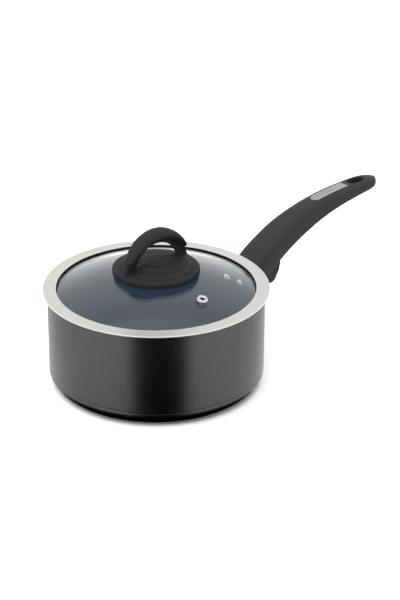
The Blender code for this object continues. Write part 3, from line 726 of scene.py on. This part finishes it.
def rivet_profile():
    """Over the domed head, down the shank and round the formed tail."""
    ball = (RIVET_HEAD ** 2 + RIVET_RISE ** 2) / (2 * RIVET_RISE)
    sweep = math.degrees(math.asin((RIVET_HEAD - 0.0001) / ball))
    profile = arc(0.0, RIVET_RISE - ball, ball, 90, 90 - sweep, 18)
    profile += [(RIVET_HEAD, 0.00012), (RIVET_HEAD - 0.0001, 0.0), (RIVET_SHANK, 0.0)]
    tail = RIVET_STAND - (BRACKET_OUTER + GAP)
    crown = tail - RIVET_TAIL_EDGE
    profile += [(RIVET_SHANK, tail), (RIVET_TAIL - RIVET_TAIL_EDGE, tail), (RIVET_TAIL, crown)]
    profile += [(RIVET_TAIL * math.cos(a), crown - RIVET_TAIL_RISE * math.sin(a))
                for a in map(math.radians, (15, 30, 45, 60, 75))]
    return profile + [(0.0, crown - RIVET_TAIL_RISE)]


def rivet_line(angle):
    """Outward direction of one rivet, and the height it lies at."""
    return Vector((math.cos(angle), math.sin(angle), 0.0)), Vector((0.0, 0.0, RIVET_Z))


RIVET_METAL = bright_steel("rivet_metal", 0.90, 0.07)
for side, angle in (("left", RIVET_ANGLE), ("right", -RIVET_ANGLE)):
    outwards, level = rivet_line(angle)
    rivet = turned("rivet_" + side, rivet_profile(), RIVET_METAL, "pan", steps=64,
                   matrix=standing(outwards * RIVET_STAND + level, -outwards))
    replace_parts(rivet, "bracket_rivet_" + side)


# Handle bracket ----------------------------------------------------------------------------------
# A black cast bracket: a curved pad that lies on the wall under the two rivets, a short web
# between them, and a tongue that runs up into the hollow handle, where a screw holds it.
PAD_HALF_ANGLE = math.radians(11.0)
PAD_LOW, PAD_HIGH = 0.0480, 0.0725
PAD_CORNER = 0.0050
PAD_BENDS = 20
DRILL_FROM = 0.0860
DRILL_TO = 0.0985
# distance from the pan's axis, height, half width, half height
WEB_STATIONS = (
    (BRACKET_INNER + 0.0008, 0.0622, 0.0062, 0.0095),
    (0.0962, 0.0619, 0.0050, 0.0095),
    (0.0985, 0.0615, 0.0044, 0.0095),
    (0.1025, 0.0616, 0.0047, 0.0068),
)
WEB_CORNER = 0.0015
TONGUE_START = 0.1070
TONGUE_END = 0.1600
TONGUE_HALF = (0.0060, 0.0025)
TONGUE_CORNER = 0.0010
TONGUE_HOLE = 0.0026
TONGUE_STEPS = 18
# distance from the pan's axis, height of the centre line, half width, half height
HANDLE_STATIONS = (
    (0.1120, 0.0665, 0.0164, 0.0115),
    (0.1250, 0.0757, 0.0156, 0.0121),
    (0.1500, 0.0893, 0.0144, 0.0123),
    (0.1800, 0.0998, 0.0136, 0.0104),
    (0.2100, 0.1060, 0.0131, 0.0082),
    (0.2400, 0.1089, 0.0119, 0.0067),
    (0.2560, 0.1095, 0.0109, 0.0060),
    (0.2700, 0.1092, 0.0104, 0.0054),
)
SCREW_X = 0.1500
PAINT_DARK = (0.010, 0.010, 0.010, 1.0)
PAINT_LIGHT = (0.020, 0.020, 0.020, 1.0)


def handle_value(x, column):
    """One column of HANDLE_STATIONS at distance x, by a cubic through the stations."""
    rows = HANDLE_STATIONS
    i = max(0, min(len(rows) - 2, sum(1 for row in rows if row[0] <= x) - 1))

    def slope(k):
        low, high = max(k - 1, 0), min(k + 1, len(rows) - 1)
        return (rows[high][column] - rows[low][column]) / (rows[high][0] - rows[low][0])

    width = rows[i + 1][0] - rows[i][0]
    t = (x - rows[i][0]) / width
    start, end = rows[i][column], rows[i + 1][column]
    lift = (2 * t ** 3 - 3 * t ** 2 + 1) * start + (3 * t ** 2 - 2 * t ** 3) * end
    return lift + width * ((t ** 3 - 2 * t ** 2 + t) * slope(i) + (t ** 3 - t ** 2) * slope(i + 1))


def handle_frame(x):
    """Point on the handle's centre line, and the direction square to it, upwards."""
    step = 0.0005
    rise = (handle_value(x + step, 1) - handle_value(x - step, 1)) / (2 * step)
    along = Vector((1.0, 0.0, rise)).normalized()
    return Vector((x, 0.0, handle_value(x, 1))), Vector((-along.z, 0.0, along.x))


def rounded_box_ring(centre, up, half_width, half_height, corner):
    """A rectangle with round corners, standing across the way from the pan to the handle's tip."""
    side, level = half_width - corner, half_height - corner
    section = []
    for y, z, start in ((side, level, 0), (-side, level, 90), (-side, -level, 180), (side, -level, 270)):
        section += arc(y, z, corner, start, start + 90, 4)
    return [centre + Vector((0.0, y, 0.0)) + up * z for y, z in section]


def lofted(rings):
    """A closed skin bridged over rings of points, each with the same number of points."""
    bm = bmesh.new()
    loops = []
    for ring in rings:
        verts = [bm.verts.new(point) for point in ring]
        loops.append([bm.edges.new((verts[i - 1], verts[i])) for i in range(len(verts))])
    for first, second in zip(loops, loops[1:]):
        bmesh.ops.bridge_loops(bm, edges=first + second)
    for end in (loops[0], loops[-1]):
        bmesh.ops.contextual_create(bm, geom=end)
    bmesh.ops.recalc_face_normals(bm, faces=bm.faces)
    return bm


def black_casting():
    paint = Finish("bracket_black_paint", Specular_IOR_Level=0.4)
    grain = paint.noise(900.0, 4.0)
    paint.set("Base Color", paint.blend(paint.noise(60.0, 3.0), PAINT_DARK, PAINT_LIGHT))
    paint.set("Roughness", paint.spread(grain, 0.3, 0.7, 0.42, 0.58))
    paint.bump(grain, 0.00006, 0.6)
    return paint


def bracket_pad():
    """A plate with round corners and edges, bent round the pan's wall."""
    arc_length = 2 * PAD_HALF_ANGLE * BRACKET_OUTER
    thick = BRACKET_OUTER - BRACKET_INNER
    bm = bmesh.new()
    bmesh.ops.create_cube(bm, size=1.0)
    bmesh.ops.scale(bm, vec=(thick, arc_length, PAD_HIGH - PAD_LOW), verts=bm.verts)
    corners = [e for e in bm.edges if abs(e.verts[0].co.x - e.verts[1].co.x) > thick / 2]
    bmesh.ops.bevel(bm, geom=corners, offset=PAD_CORNER, affect="EDGES", segments=6, profile=0.5,
                    material=-1)
    for i in range(1, PAD_BENDS):
        across = arc_length * (i / PAD_BENDS - 0.5)
        bmesh.ops.bisect_plane(bm, geom=[*bm.verts, *bm.edges, *bm.faces], plane_co=(0.0, across, 0.0),
                               plane_no=(0.0, 1.0, 0.0))
    for vert in bm.verts:
        reach = (BRACKET_INNER + BRACKET_OUTER) / 2 + vert.co.x
        turn = vert.co.y / BRACKET_OUTER
        z = (PAD_LOW + PAD_HIGH) / 2 + vert.co.z
        vert.co = Vector((reach * math.cos(turn), reach * math.sin(turn), z))
    return bm


def combined(piece, other, operation="DIFFERENCE"):
    """The piece joined with, or cut by, another closed mesh."""
    cut_away(piece, other, operation)
    piece.data.shade_smooth()
    piece.data.set_sharp_from_angle(angle=math.radians(32.0))


bracket = placed("cast_bracket", bracket_pad(), black_casting(), "pan")
web_rings = [rounded_box_ring(Vector((x, 0.0, z)), Vector((0.0, 0.0, 1.0)), half, tall, WEB_CORNER)
             for x, z, half, tall in WEB_STATIONS]
for i in range(TONGUE_STEPS + 1):
    x = TONGUE_START + (TONGUE_END - TONGUE_START) * i / TONGUE_STEPS
    web_rings.append(rounded_box_ring(*handle_frame(x), *TONGUE_HALF, TONGUE_CORNER))
combined(bracket, lofted(web_rings), "UNION")
for angle in (RIVET_ANGLE, -RIVET_ANGLE):
    outwards, level = rivet_line(angle)
    combined(bracket, drill_bm(RIVET_SHANK + GAP, outwards * DRILL_FROM + level,
                               outwards * DRILL_TO + level))
screw_point, screw_up = handle_frame(SCREW_X)
combined(bracket, drill_bm(TONGUE_HOLE, screw_point - screw_up * DRILL_HALF,
                           screw_point + screw_up * DRILL_HALF))
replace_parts(bracket, "handle_bracket")


# Handle ------------------------------------------------------------------------------------------
# Matte black phenolic, moulded in one piece: a curved bar with a broad crowned top, a finger guard
# below its root, a hollow for the bracket's tongue, and an oval hole to hang it by.
HANDLE_ROOT = 0.1120
HANDLE_ROUND_FROM = 0.2525
HANDLE_END = 0.2698
ROOT_ROUND = 0.0022
TIP_FLATNESS = 0.62
BAR_STEPS = 56
TIP_STEPS = 16
ROOT_SQUARENESS = 3.1
END_SQUARENESS = 2.5
SQUARE_UNTIL = 0.120
ROUNDER_OVER = 0.075
GUARD_HALF = 0.0100
GUARD_ROUND = 0.0022
MOUTH_HALF = (0.0122, 0.0078)
MOUTH_CORNER = 0.0024
MOUTH_X = (0.1070, 0.1150, 0.1200, 0.1260)
TONGUE_ROOM = (0.0064, 0.0029)
TONGUE_ROOM_X = (0.1262, 0.1320, 0.1380, 0.1440, 0.1500, 0.1560, 0.1610)
HANG_HOLE_X = 0.2454
HANG_HOLE_HALF = (0.0094, 0.0050)
HOLE_STRAIGHT = 0.0040
HOLE_FLARE_HEIGHT = 0.0024
HOLE_FLARE = 0.0017
HOLE_CUTTER_FACE = 0.0070
HOLE_CUTTER_RADIUS = 0.0150
HOLE_CUTTER_HALF = 0.02
BADGE_FROM = 0.1892
BADGE_TO = 0.2300
BADGE_HALF_WIDTH = 0.0048
BADGE_THICKNESS = 0.0008
SCREW_HEAD_DEPTH = 0.0058
COUNTERBORE = 0.0052
SCREW_CLEARANCE = 0.0029
SECTION_POINTS = 72


def handle_section(x, half_width, half_height):
    """A superellipse ring square to the centre line, squarer near the root."""
    centre, up = handle_frame(x)
    share = min(max((x - SQUARE_UNTIL) / ROUNDER_OVER, 0.0), 1.0)
    power = 2.0 / (ROOT_SQUARENESS + (END_SQUARENESS - ROOT_SQUARENESS) * share)
    ring = []
    for i in range(SECTION_POINTS):
        angle = 2 * math.pi * i / SECTION_POINTS
        side = math.copysign(abs(math.cos(angle)) ** power, math.cos(angle))
        high = math.copysign(abs(math.sin(angle)) ** power, math.sin(angle))
        ring.append(centre + Vector((0.0, half_width * side, 0.0)) + up * (half_height * high))
    return ring


def handle_bar():
    """The bar from its rounded root to its tip, which is round from above and blunt from the side."""
    rings = []
    wide, tall = handle_value(HANDLE_ROOT, 2), handle_value(HANDLE_ROOT, 3)
    for turn in map(math.radians, (90, 72, 54, 36, 18)):
        sunk = ROOT_ROUND * (1.0 - math.cos(turn))
        x = HANDLE_ROOT - ROOT_ROUND * math.sin(turn) * 0.9
        rings.append(handle_section(x, wide - sunk, tall - sunk))
    for i in range(BAR_STEPS + 1):
        x = HANDLE_ROOT + (HANDLE_ROUND_FROM - HANDLE_ROOT) * i / BAR_STEPS
        rings.append(handle_section(x, handle_value(x, 2), handle_value(x, 3)))
    for i in range(1, TIP_STEPS + 1):
        t = math.sin(math.pi / 2 * i / TIP_STEPS)
        x = HANDLE_ROUND_FROM + (HANDLE_END - HANDLE_ROUND_FROM) * t
        closing = math.sqrt(max(1.0 - t * t, 0.0004))
        height = handle_value(x, 3) * (TIP_FLATNESS + (1.0 - TIP_FLATNESS) * closing)
        rings.append(handle_section(x, handle_value(x, 2) * closing, height))
    return lofted(rings)


def finger_guard():
    """The fin below the root: a flat outline pushed out sideways, with its edges well rounded."""
    outline = [(0.1150, 0.0680), (0.1178, 0.0615), (0.1195, 0.0575)]
    outline += arc(0.1282, 0.0577, 0.0078, 190, 345, 16)
    outline += [(0.1385, 0.0600), (0.1401, 0.0670), (0.1400, 0.0760), (0.1250, 0.0760)]
    bm = bmesh.new()
    face = bm.faces.new([bm.verts.new((x, GUARD_HALF, z)) for x, z in outline])
    pushed = bmesh.ops.extrude_face_region(bm, geom=[face])
    moved = [item for item in pushed["geom"] if isinstance(item, bmesh.types.BMVert)]
    bmesh.ops.translate(bm, vec=(0.0, -2 * GUARD_HALF, 0.0), verts=moved)
    rims = [e for e in bm.edges if abs(e.verts[0].co.y - e.verts[1].co.y) < 1e-6]
    bmesh.ops.bevel(bm, geom=rims, offset=GUARD_ROUND, affect="EDGES", segments=6, profile=0.5,
                    material=-1)
    return bm


def badge_rings(grow, low, high):
    """Sections along the top of the handle: round at the pan end and square at the other."""
    start, end, half = BADGE_FROM - grow, BADGE_TO + grow, BADGE_HALF_WIDTH + grow
    xs = [start + half * (1.0 - math.cos(math.radians(a))) for a in (8, 18, 30, 42, 54, 66, 78, 90)]
    xs += [start + half + (end - start - half) * i / 24 for i in range(1, 25)]
    rings = []
    for x in xs:
        width = half * math.sqrt(1.0 - (1.0 - min((x - start) / half, 1.0)) ** 2)
        top = handle_value(x, 3)
        centre, up = handle_frame(x)
        soft = min(0.00015, width / 3)
        low_z, high_z = top + low, top + high
        corners = ((width - soft, high_z), (soft - width, high_z), (-width, high_z - soft),
                   (-width, low_z), (width, low_z), (width, high_z - soft))
        rings.append([centre + Vector((0.0, y, 0.0)) + up * z for y, z in corners])
    return rings


def spun_cutter(profile, matrix, steps=SMALL_STEPS):
    """A closed turned form for cutting, set in place."""
    bm = spun(profile, steps)
    bmesh.ops.remove_doubles(bm, verts=bm.verts, dist=1e-6)
    bmesh.ops.transform(bm, matrix=matrix, verts=bm.verts)
    return bm


def hang_hole_profile():
    """Half the section of the hole's cutter: straight in the middle, flared at both faces."""
    flared = []
    for i in range(5):
        reach = HANG_HOLE_HALF[0] + HOLE_FLARE * (i / 4) ** 2
        flared.append((reach, HOLE_STRAIGHT + HOLE_FLARE_HEIGHT * i / 4))
    upper = flared + [(HOLE_CUTTER_RADIUS, HOLE_CUTTER_FACE), (HOLE_CUTTER_RADIUS, HOLE_CUTTER_HALF),
                      (0.0, HOLE_CUTTER_HALF)]
    return [(reach, -height) for reach, height in reversed(upper)] + upper


def moulded_black(name, dark, light, rough, level):
    """Matte moulded plastic: faint cloudy colour, a fine satin grain and a little polish from hands."""
    moulding = Finish(name, Specular_IOR_Level=level)
    cloud = moulding.noise(38.0, 3.0)
    fine = moulding.noise(2400.0, 3.0)
    moulding.set("Base Color", moulding.blend(cloud, (*dark, 1.0), (*light, 1.0)))
    moulding.set("Roughness", moulding.spread(cloud + 0.5 * fine, 0.5, 1.0, rough - 0.05, rough + 0.06))
    moulding.bump(fine, 0.00003, 0.5)
    return moulding


HANDLE_BLACK = moulded_black("handle_phenolic", (0.015, 0.015, 0.016), (0.022, 0.022, 0.023), 0.52, 0.26)
handle = placed("handle_moulding", handle_bar(), HANDLE_BLACK, "pan")
combined(handle, finger_guard(), "UNION")
mouth = [rounded_box_ring(*handle_frame(x), *MOUTH_HALF, MOUTH_CORNER) for x in MOUTH_X]
tongue_room = [rounded_box_ring(*handle_frame(x), *TONGUE_ROOM, TONGUE_CORNER) for x in TONGUE_ROOM_X]
combined(handle, lofted(mouth + tongue_room))
squash = Matrix.Diagonal((1.0, HANG_HOLE_HALF[1] / HANG_HOLE_HALF[0], 1.0, 1.0))
combined(handle, spun_cutter(hang_hole_profile(), squash @ standing(*handle_frame(HANG_HOLE_X)), 64))
combined(handle, lofted(badge_rings(0.00035, -BADGE_THICKNESS - GAP, 0.004)))
screw_seat = SCREW_HEAD_DEPTH - handle_value(SCREW_X, 3)
counterbore_end = screw_seat - SCREW_HEAD_DEPTH - 0.004
screw_hole = [(0.0, 0.0), (SCREW_CLEARANCE, 0.0), (SCREW_CLEARANCE, screw_seat)]
screw_hole += [(COUNTERBORE, screw_seat), (COUNTERBORE, counterbore_end), (0.0, counterbore_end)]
combined(handle, spun_cutter(screw_hole, standing(screw_point, screw_up)))
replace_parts(handle, "handle_grip")


# Badge -------------------------------------------------------------------------------------------
# A thin satin metal plate let into the top of the handle, round at one end and square at the other,
# brushed along its length. It is plain here.
BADGE_DARK = (0.36, 0.36, 0.355, 1.0)
BADGE_LIGHT = (0.66, 0.66, 0.65, 1.0)
BADGE_RIM = (0.86, 0.86, 0.85, 1.0)


def brushed_badge():
    plate = Finish("brushed_badge_metal", Metallic=1.0, Anisotropic=0.3)
    grain = plate.noise(1.0, 4.0, 0.65, plate.stretched(160.0, 5200.0, 5200.0))
    across = plate.axes()[1]
    rim = plate.spread((across * across) ** 0.5, BADGE_HALF_WIDTH - 0.0007, BADGE_HALF_WIDTH - 0.0003)
    face = plate.blend(grain, BADGE_DARK, BADGE_LIGHT)
    plate.set("Base Color", plate.blend(rim, face, BADGE_RIM))
    plate.set("Roughness", plate.spread(grain, 0.3, 0.7, 0.26, 0.40))
    plate.bump(grain, 0.00002, 0.5)
    return plate


badge = placed("badge_plate", lofted(badge_rings(0.0, -BADGE_THICKNESS, 0.0001)), brushed_badge(),
               "pan", smooth_angle=30.0)
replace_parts(badge, "handle_badge")


# Handle screw ------------------------------------------------------------------------------------
# A pan-head steel screw with a cross recess and a spring washer. It comes up from under the handle
# through a counterbore and pulls the handle down on the bracket's tongue.
FASTENER_STEEL = bright_steel("zinc_plated_steel", 0.62, 0.28)
THREAD_PITCH = 0.0008
THREAD_DEPTH = 0.00022
SPRING_BORE = 0.0027
SPRING_OUTER = 0.0046
SPRING_THICKNESS = 0.0010
HANDLE_SCREW = (0.0023, 0.0042, 0.0026)


def screw_profile(length, shank, head, head_height):
    """From the tip of the thread down to the rounded head; the head's underside is at z = 0."""
    profile = [(0.0, length), (shank - 0.0005, length), (shank - THREAD_DEPTH, length - 0.0004)]
    z = length - 0.0006
    while z > 0.0012:
        profile += [(shank, z), (shank - THREAD_DEPTH, z - THREAD_PITCH / 2)]
        z -= THREAD_PITCH
    profile += [(shank - THREAD_DEPTH, 0.0), (head - 0.0001, 0.0), (head, -0.0001)]
    profile += [(head * math.cos(a) ** 0.6, -head_height * math.sin(a) ** 0.9)
                for a in map(math.radians, (20, 35, 50, 65, 80))]
    return profile + [(0.0, -head_height)]


def cross_recess(piece, size, head_height, matrix):
    for turn in (0.0, math.pi / 2):
        bm = bmesh.new()
        bmesh.ops.create_cube(bm, size=1.0)
        bmesh.ops.scale(bm, vec=(size * 2, size * 0.45, head_height * 1.1), verts=bm.verts)
        bmesh.ops.translate(bm, vec=(0.0, 0.0, -head_height), verts=bm.verts)
        bmesh.ops.transform(bm, matrix=matrix @ Matrix.Rotation(turn, 4, "Z"), verts=bm.verts)
        combined(piece, bm)


def fastener(name, node, length, sizes, matrix, body):
    """A screw of a given length and of (shank, head, head height), with its cross recess."""
    piece = turned(name, screw_profile(length, *sizes), FASTENER_STEEL, body,
                   steps=40, matrix=matrix)
    cross_recess(piece, sizes[1] * 0.55, sizes[2], matrix)
    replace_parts(piece, node)


spring_place = standing(screw_point + screw_up * (screw_seat - GAP - SPRING_THICKNESS), screw_up)
spring_section = ring_section(SPRING_BORE, SPRING_OUTER, 0.0, SPRING_THICKNESS, 0.00015)
spring = turned("handle_spring_washer", spring_section, FASTENER_STEEL, "pan", True,
                SMALL_STEPS, spring_place)
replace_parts(spring, "handle_screw_washer")
screw_start = screw_point + screw_up * (screw_seat - 2 * GAP - SPRING_THICKNESS)
fastener("handle_fixing_screw", "handle_screw", SPRING_THICKNESS + TONGUE_HALF[1] - screw_seat,
         HANDLE_SCREW, standing(screw_start, screw_up), "pan")


# Knob --------------------------------------------------------------------------------------------
# Black phenolic, moulded in one: a round base with three fine stepped rings, carrying an arch that
# is broad under its grip and tapers to thin feet and to a thin edge round the finger gap.
KNOB_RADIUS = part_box("knob_base")[1].x
KNOB_RIM_BOTTOM = 0.0984
KNOB_RIM_TOP = 0.1026
KNOB_CROWN = 0.1096
KNOB_CLEARANCE = 0.0013
KNOB_SEAT = GLASS_TOP_Z + 0.0014
SEAT_RADIUS = 0.0110
INSERT_RADIUS = 0.0040
INSERT_TOP = 0.1080
ARCH_RADIUS = 0.0364
ARCH_CENTRE_Z = 0.09335
WINDOW_RADIUS = 0.0236
WINDOW_CENTRE_Z = 0.1007
ARCH_FOOT = math.radians(79.5)
WINDOW_FOOT = math.radians(86.0)
ARCH_WIDEST = 0.0062
ARCH_NARROWEST = 0.0009
ARCH_NARROW_FROM = 0.90
ARCH_EDGE = 0.0014
WINDOW_EDGE = 0.0008
ARCH_STEPS = 72
RIDGE_STEPS = 40
RING_LINES = ((0.0142, 0.10920), (0.0247, 0.10760), (0.0317, 0.10500))


def knob_disc_profile():
    """From the crown over the stepped rings, round the rim, under to the gasket and up the insert."""
    profile = [(0.0, KNOB_CROWN), (0.0080, KNOB_CROWN - 0.0001)]
    for reach, z in RING_LINES:
        profile += [(reach - 0.0004, z), (reach - 0.0001, z - 0.00010), (reach + 0.0001, z - 0.00062)]
        profile += [(reach + 0.0005, z - 0.00066), (reach + 0.0010, z - 0.00055)]
    soft = 0.0012
    profile += arc(KNOB_RADIUS - soft, KNOB_RIM_TOP + 0.0004 - soft, soft, 75, 0, 8)
    profile += arc(KNOB_RADIUS - 0.0006, KNOB_RIM_BOTTOM + 0.0006, 0.0006, 0, -90, 4)
    profile += [(reach, dome_z(reach) + KNOB_CLEARANCE)
                for reach in (0.0335, 0.0290, 0.0240, 0.0190, 0.0150, SEAT_RADIUS)]
    profile.append((SEAT_RADIUS, KNOB_SEAT))
    wall = INSERT_RADIUS + GAP
    return profile + [(wall, KNOB_SEAT), (wall, INSERT_TOP), (0.0, INSERT_TOP)]


def on_arc(angle, radius, centre_z, side=0.0):
    """A point on an arc in the XZ plane, moved sideways; the angle is measured from straight up."""
    return Vector((radius * math.sin(angle), side, centre_z + radius * math.cos(angle)))


def arch_rings():
    """Sections from foot to foot: rounded outer edges, a hollowed side and a thin window edge."""
    rings = []
    for i in range(ARCH_STEPS + 1):
        even = 2 * i / ARCH_STEPS - 1
        share = math.sin(math.pi / 2 * even) * 0.35 + 0.65 * even
        half = max(ARCH_WIDEST * (1.0 - (abs(share) / ARCH_NARROW_FROM) ** 2.4), ARCH_NARROWEST)
        half += 0.0022 * max((abs(share) - 0.84) / 0.16, 0.0) ** 2
        outer = on_arc(ARCH_FOOT * share, ARCH_RADIUS, ARCH_CENTRE_Z)
        inner = on_arc(WINDOW_FOOT * share, WINDOW_RADIUS, WINDOW_CENTRE_Z)
        depth = (outer - inner).length
        foot_flare = 0.0016 * max((abs(share) - 0.80) / 0.20, 0.0) ** 2
        line = [(half - 0.0004, 0.0), (half - 0.0001, 0.0003 / depth), (half, 0.0008 / depth),
                (half * 0.93, ARCH_EDGE / depth)]
        for part in (0.30, 0.42, 0.56, 0.72, 0.86, 0.96):
            hollow = WINDOW_EDGE + (half * 0.93 - WINDOW_EDGE) * max(1.0 - part / 0.80, 0.0) ** 2.2
            line.append((hollow + foot_flare, part))
        line.append((WINDOW_EDGE - 0.0003 + foot_flare, 1.0))
        points = [(outer.lerp(inner, sunk), side) for side, sunk in line]
        rings.append([point + Vector((0.0, side, 0.0)) for point, side in points]
                     + [point - Vector((0.0, side, 0.0)) for point, side in reversed(points)])
    return rings


def crown_ridge():
    """The low straight ridge that runs over the base from foot to foot, under the finger gap."""
    rings = []
    surface = [(0.0, KNOB_CROWN), *RING_LINES, (KNOB_RADIUS - 0.0012, KNOB_RIM_TOP + 0.0004)]
    for i in range(RIDGE_STEPS + 1):
        x = (KNOB_RADIUS - 0.0022) * (2 * i / RIDGE_STEPS - 1)
        reach = abs(x)
        k = max(j for j in range(len(surface) - 1) if surface[j][0] <= reach)
        (r0, z0), (r1, z1) = surface[k], surface[k + 1]
        z = z0 + (z1 - z0) * (reach - r0) / (r1 - r0)
        rise = 0.0002 + 0.0007 * min(reach / 0.026, 1.0) ** 2
        right = ((0.0005, rise * 0.95), (0.0014, rise * 0.60), (0.0026, rise * 0.10), (0.0034, -0.0012))
        left = [(-y, height) for y, height in reversed(right)]
        rings.append([Vector((x, y, z + height)) for y, height in (*left, *right)])
    return rings


KNOB_BLACK = moulded_black("knob_phenolic", (0.012, 0.012, 0.012), (0.018, 0.018, 0.0185), 0.58, 0.12)
knob = turned("knob_moulding", knob_disc_profile(), KNOB_BLACK, "lid", steps=144)
combined(knob, lofted(arch_rings()), "UNION")
combined(knob, lofted(crown_ridge()), "UNION")
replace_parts(knob, "knob_base")


# Knob grip ---------------------------------------------------------------------------------------
# Soft black rubbery plastic moulded over the arch: a thick crescent with blunt, rounded ends that
# stand a little proud of the legs.
GRIP_RADIUS = 0.0325
GRIP_CENTRE_Z = 0.1045
GRIP_HALF_ANGLE = math.radians(58.5)
GRIP_HALF_WIDTH = 0.0080
GRIP_NARROWING = 0.88
END_PROUD = 0.0022
END_FROM = 0.91
END_WIDTH_LOSS = 0.96
END_HEIGHT_LOSS = 0.55
GRIP_STEPS = 30


def grip_rings():
    """Sections along the crescent, each flat on the arch with round shoulders and a domed back."""
    rings = []
    base_radius = ARCH_RADIUS + GAP
    drop = GRIP_CENTRE_Z - ARCH_CENTRE_Z
    outline = [(-0.90, 0.0), (0.90, 0.0), (0.96, 0.06), (1.0, 0.20), (0.995, 0.34)]
    outline += [(math.cos(a) ** 0.85, 0.34 + 0.66 * math.sin(a))
                for a in map(math.radians, (15, 30, 45, 60, 75))]
    outline += [(0.0, 1.0)] + [(-side, high) for side, high in reversed(outline[2:])]
    for i in range(-GRIP_STEPS, GRIP_STEPS + 1):
        share = math.sin(math.pi / 2 * i / GRIP_STEPS)
        angle = GRIP_HALF_ANGLE * share
        reach = drop * math.cos(angle) + math.sqrt(GRIP_RADIUS ** 2 - (drop * math.sin(angle)) ** 2)
        thick = reach - base_radius + END_PROUD * share ** 4
        half = GRIP_HALF_WIDTH * math.sqrt(1.0 - (GRIP_NARROWING * share) ** 2)
        into_end = max((abs(share) - END_FROM) / (1.0 - END_FROM), 0.0)
        closing = math.sqrt(1.0 - END_WIDTH_LOSS * into_end ** 2)
        half *= closing
        thick *= 1.0 - END_HEIGHT_LOSS * (1.0 - closing)
        rings.append([on_arc(angle, base_radius + thick * high, ARCH_CENTRE_Z, half * side)
                      for side, high in outline])
    return rings


SOFT_GRIP = moulded_black("soft_grip_black", (0.012, 0.012, 0.012), (0.017, 0.017, 0.0175), 0.60, 0.20)
grip = placed("knob_soft_grip", lofted(grip_rings()), SOFT_GRIP, "lid", smooth_angle=50.0)
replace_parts(grip, "knob_grip")


# Knob fixings ------------------------------------------------------------------------------------
# A grooved brass insert is moulded into the knob. A screw comes up through the glass into it, with a
# steel washer and a silicone gasket under the glass and another gasket between glass and knob.
GASKET_RADIUS = 0.0070
FIXING_THICKNESS = 0.0010
FIXING_BORE = 0.0026
FIXING_SOFT = 0.0002
SEAT_GASKET_BORE = 0.0050
PLATE_RADIUS = 0.0064
INSERT_BORE = 0.0025
INSERT_GROOVE = 0.0005
KNOB_SCREW = (0.0022, 0.0044, 0.0026)
BRASS_DARK = (0.52, 0.37, 0.15, 1.0)
BRASS_LIGHT = (0.66, 0.49, 0.22, 1.0)


def insert_section():
    """The brass insert's section, with three grooves that the moulding grips."""
    top = INSERT_TOP - GAP
    outer, groove = INSERT_RADIUS, INSERT_RADIUS - INSERT_GROOVE
    section = [(INSERT_BORE, top - 0.0003), (INSERT_BORE + 0.0003, top), (outer - 0.0002, top)]
    section.append((outer, top - 0.0002))
    for share in (0.25, 0.5, 0.75):
        z = top + (KNOB_SEAT - top) * share
        section += [(outer, z + 0.0005), (groove, z + 0.0003), (groove, z - 0.0003), (outer, z - 0.0005)]
    return section + [(outer, KNOB_SEAT + 0.0002), (outer - 0.0002, KNOB_SEAT), (INSERT_BORE, KNOB_SEAT)]


def brass_metal():
    brass = Finish("brass_metal", Metallic=1.0)
    cloud = brass.noise(300.0, 3.0)
    brass.set("Base Color", brass.blend(cloud, BRASS_DARK, BRASS_LIGHT))
    brass.set("Roughness", brass.spread(cloud, 0.3, 0.7, 0.28, 0.42))
    return brass


gasket_low = dome_z(GASKET_RADIUS, GLASS_WALL) - GAP - FIXING_THICKNESS
plate_low = gasket_low - GAP - FIXING_THICKNESS
FIXINGS = (
    ("knob_brass_insert", "knob_insert", insert_section(), brass_metal(), "brass"),
    ("knob_upper_gasket", "knob_seat_gasket",
     ring_section(SEAT_GASKET_BORE, SEAT_RADIUS - 2 * GAP, GLASS_TOP_Z + GAP, KNOB_SEAT - GAP,
                  FIXING_SOFT), SILICONE, "clear_silicone"),
    ("knob_lower_gasket", "knob_gasket",
     ring_section(FIXING_BORE, GASKET_RADIUS, gasket_low, gasket_low + FIXING_THICKNESS,
                  FIXING_SOFT), SILICONE, "clear_silicone"),
    ("knob_backing_washer", "knob_screw_washer",
     ring_section(FIXING_BORE, PLATE_RADIUS, plate_low, plate_low + FIXING_THICKNESS,
                  FIXING_SOFT), FASTENER_STEEL, "bright_steel"),
)
for name, node, section, finish, slot in FIXINGS:
    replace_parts(turned(name, section, finish, "lid", closed=True, steps=64), node)
screw_base = plate_low - GAP
fastener("knob_fixing_screw", "knob_screw", INSERT_TOP - 0.0012 - screw_base, KNOB_SCREW,
         Matrix.Translation((0.0, 0.0, screw_base)), "lid")
